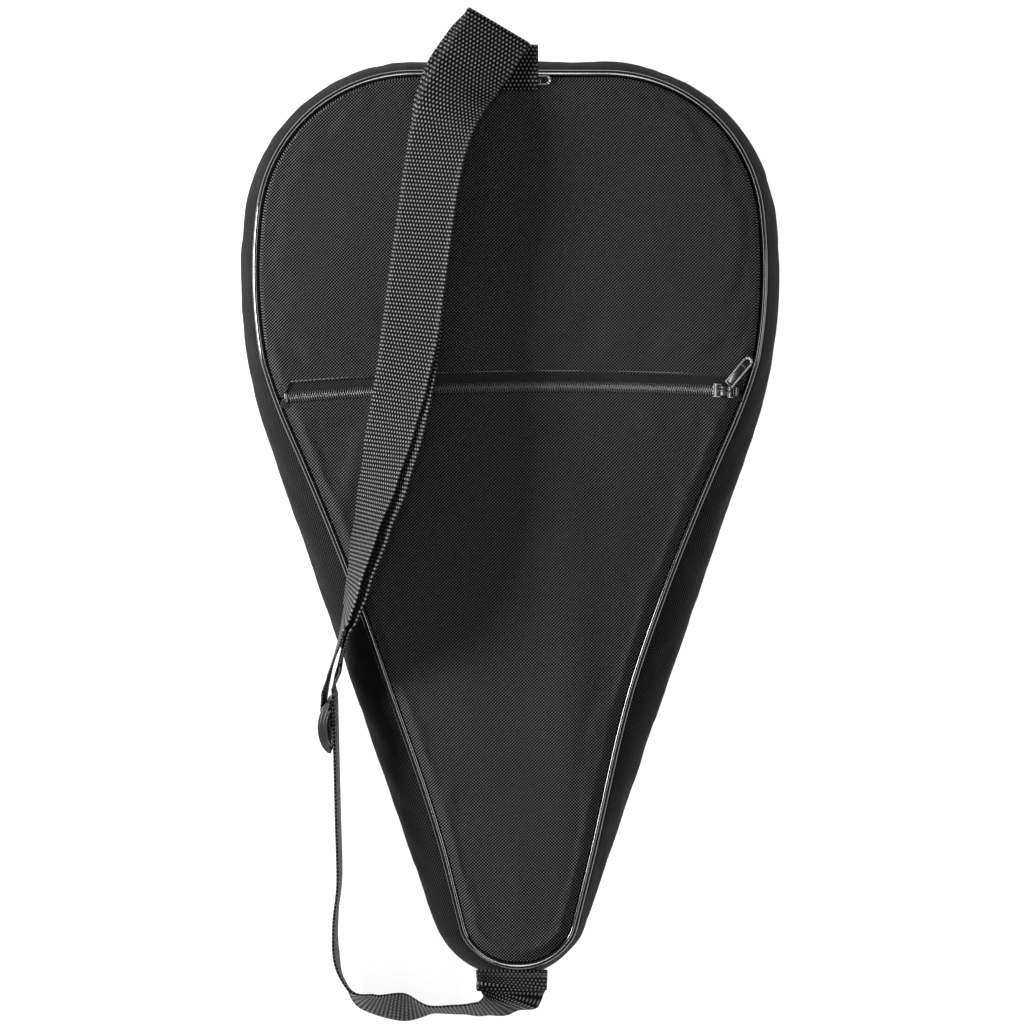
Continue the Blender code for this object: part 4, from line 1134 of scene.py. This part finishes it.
def rail_outline(half, low, bow):
    """A rail's plan in millimetres: bowed out on its left, hollow on its right between its two feet."""
    count, reach = 20, half + 0.8
    left = [half * (1 - 2 * k / count) for k in range(count + 1)]
    hollow = [RAIL_HOLLOW * math.cos(math.pi / 2 * min(1, abs(x) / (half - RAIL_FOOT))) ** 0.8 for x in left]
    points = [(x, bow * math.sqrt(max(1 - (x / reach) ** 2, 0))) for x in left]
    return points + [(x, low + rise) for x, rise in zip(left[::-1], hollow[::-1])]


def adjuster():
    """The three-bar slide on its edge: two bowed, ridged rails, a middle bar and two outer bars."""
    axes = Matrix((RUN_DIRECTION, RUN_LEFT, -RUN_UP)).transposed().to_4x4()
    between = SLIDE_HEIGHT - RAIL_THICK
    parts = []
    for side in (1, -1):
        rail = rail_outline(RAIL_HALF, RAIL_LOW, RAIL_BOW)
        parts.append(("prism", (0, 0, side * (between / 2 - 0.5)), (rail, RAIL_THICK - 1.0), 0.5))
        for inset, depth in ((1.2, 0.9), (3.0, 0.6), (4.6, 0.4)):
            rib = rail_outline(RAIL_HALF - 0.6 - 0.9 * inset, RAIL_LOW + 0.3 + 0.15 * inset, RAIL_BOW - inset)
            place = (0, 0, side * (between / 2 + (0.9 - depth) / 2))
            parts.append(("prism", place, (rib, RAIL_THICK - depth), 0.3))
    bars = [(0, MIDDLE_BAR / MM)] + [(x, OUTER_BAR / MM) for x in OUTER_BAR_PLACES]
    parts += [("rod", (x, y, 0), (BAR_RADIUS, between), 0) for x, y in bars]
    body = joined("strap_slide", parts, PLASTIC, Matrix.Translation(RUN_TOP) @ axes)
    fitted(body, "adjuster_plastic", "adjuster", "strap_adjuster")


# ---------------------------------------------------------------- setting

def studio():
    """A pale paper floor, soft lamps round the object and the camera."""
    paper = bpy.data.materials.new("floor_paper")
    corners = [(x * FLOOR_HALF, y * FLOOR_HALF, FLOOR_Z) for x, y in ((-1, -1), (1, -1), (1, 1), (-1, 1))]
    floor = as_object("floor", corners, [[0, 1, 2, 3]], paper, smooth=False)
    paper.use_nodes = True
    shader = paper.node_tree.nodes["Principled BSDF"]
    shader.inputs["Base Color"].default_value = (0.35, 0.35, 0.35, 1)
    shader.inputs["Roughness"].default_value = 0.9
    shader.inputs["Emission Color"].default_value = (1, 1, 1, 1)
    shader.inputs["Emission Strength"].default_value = 0.88
    world = bpy.context.scene.world or bpy.data.worlds.new("studio")
    bpy.context.scene.world = world
    world.use_nodes = True
    background = world.node_tree.nodes["Background"]
    background.inputs["Color"].default_value = (1, 1, 1, 1)
    background.inputs["Strength"].default_value = 0.1
    bpy.context.scene.view_settings.view_transform = "Standard"
    for name, place, size, power in LAMPS:
        light = bpy.data.lights.new(name, "AREA")
        light.shape = "RECTANGLE"
        light.size, light.size_y = size
        light.energy = power
        lamp = linked(name, light)
        lamp.location = place
        lamp.rotation_euler = (-Vector(place)).to_track_quat("-Z", "Y").to_euler()
    camera = bpy.data.cameras.new("camera")
    camera.sensor_width = 36
    camera.lens = CAMERA_LENS
    eye = linked("camera", camera)
    eye.location = CAMERA_PLACE
    bpy.context.scene.camera = eye


studio()
back_cloth()
for layer in LAYERS:
    inner_layer(*layer)
side_cloth()
piping("piping_back", "back_piping", 0, BACK_PIPING_Z)
piping("piping_front", "front_piping", 1, FRONT_PIPING_Z)
front_cloth()
pocket_cloth()
pocket_zip()
main_zip()
sliders()
strap()
top_tab()
adjuster()
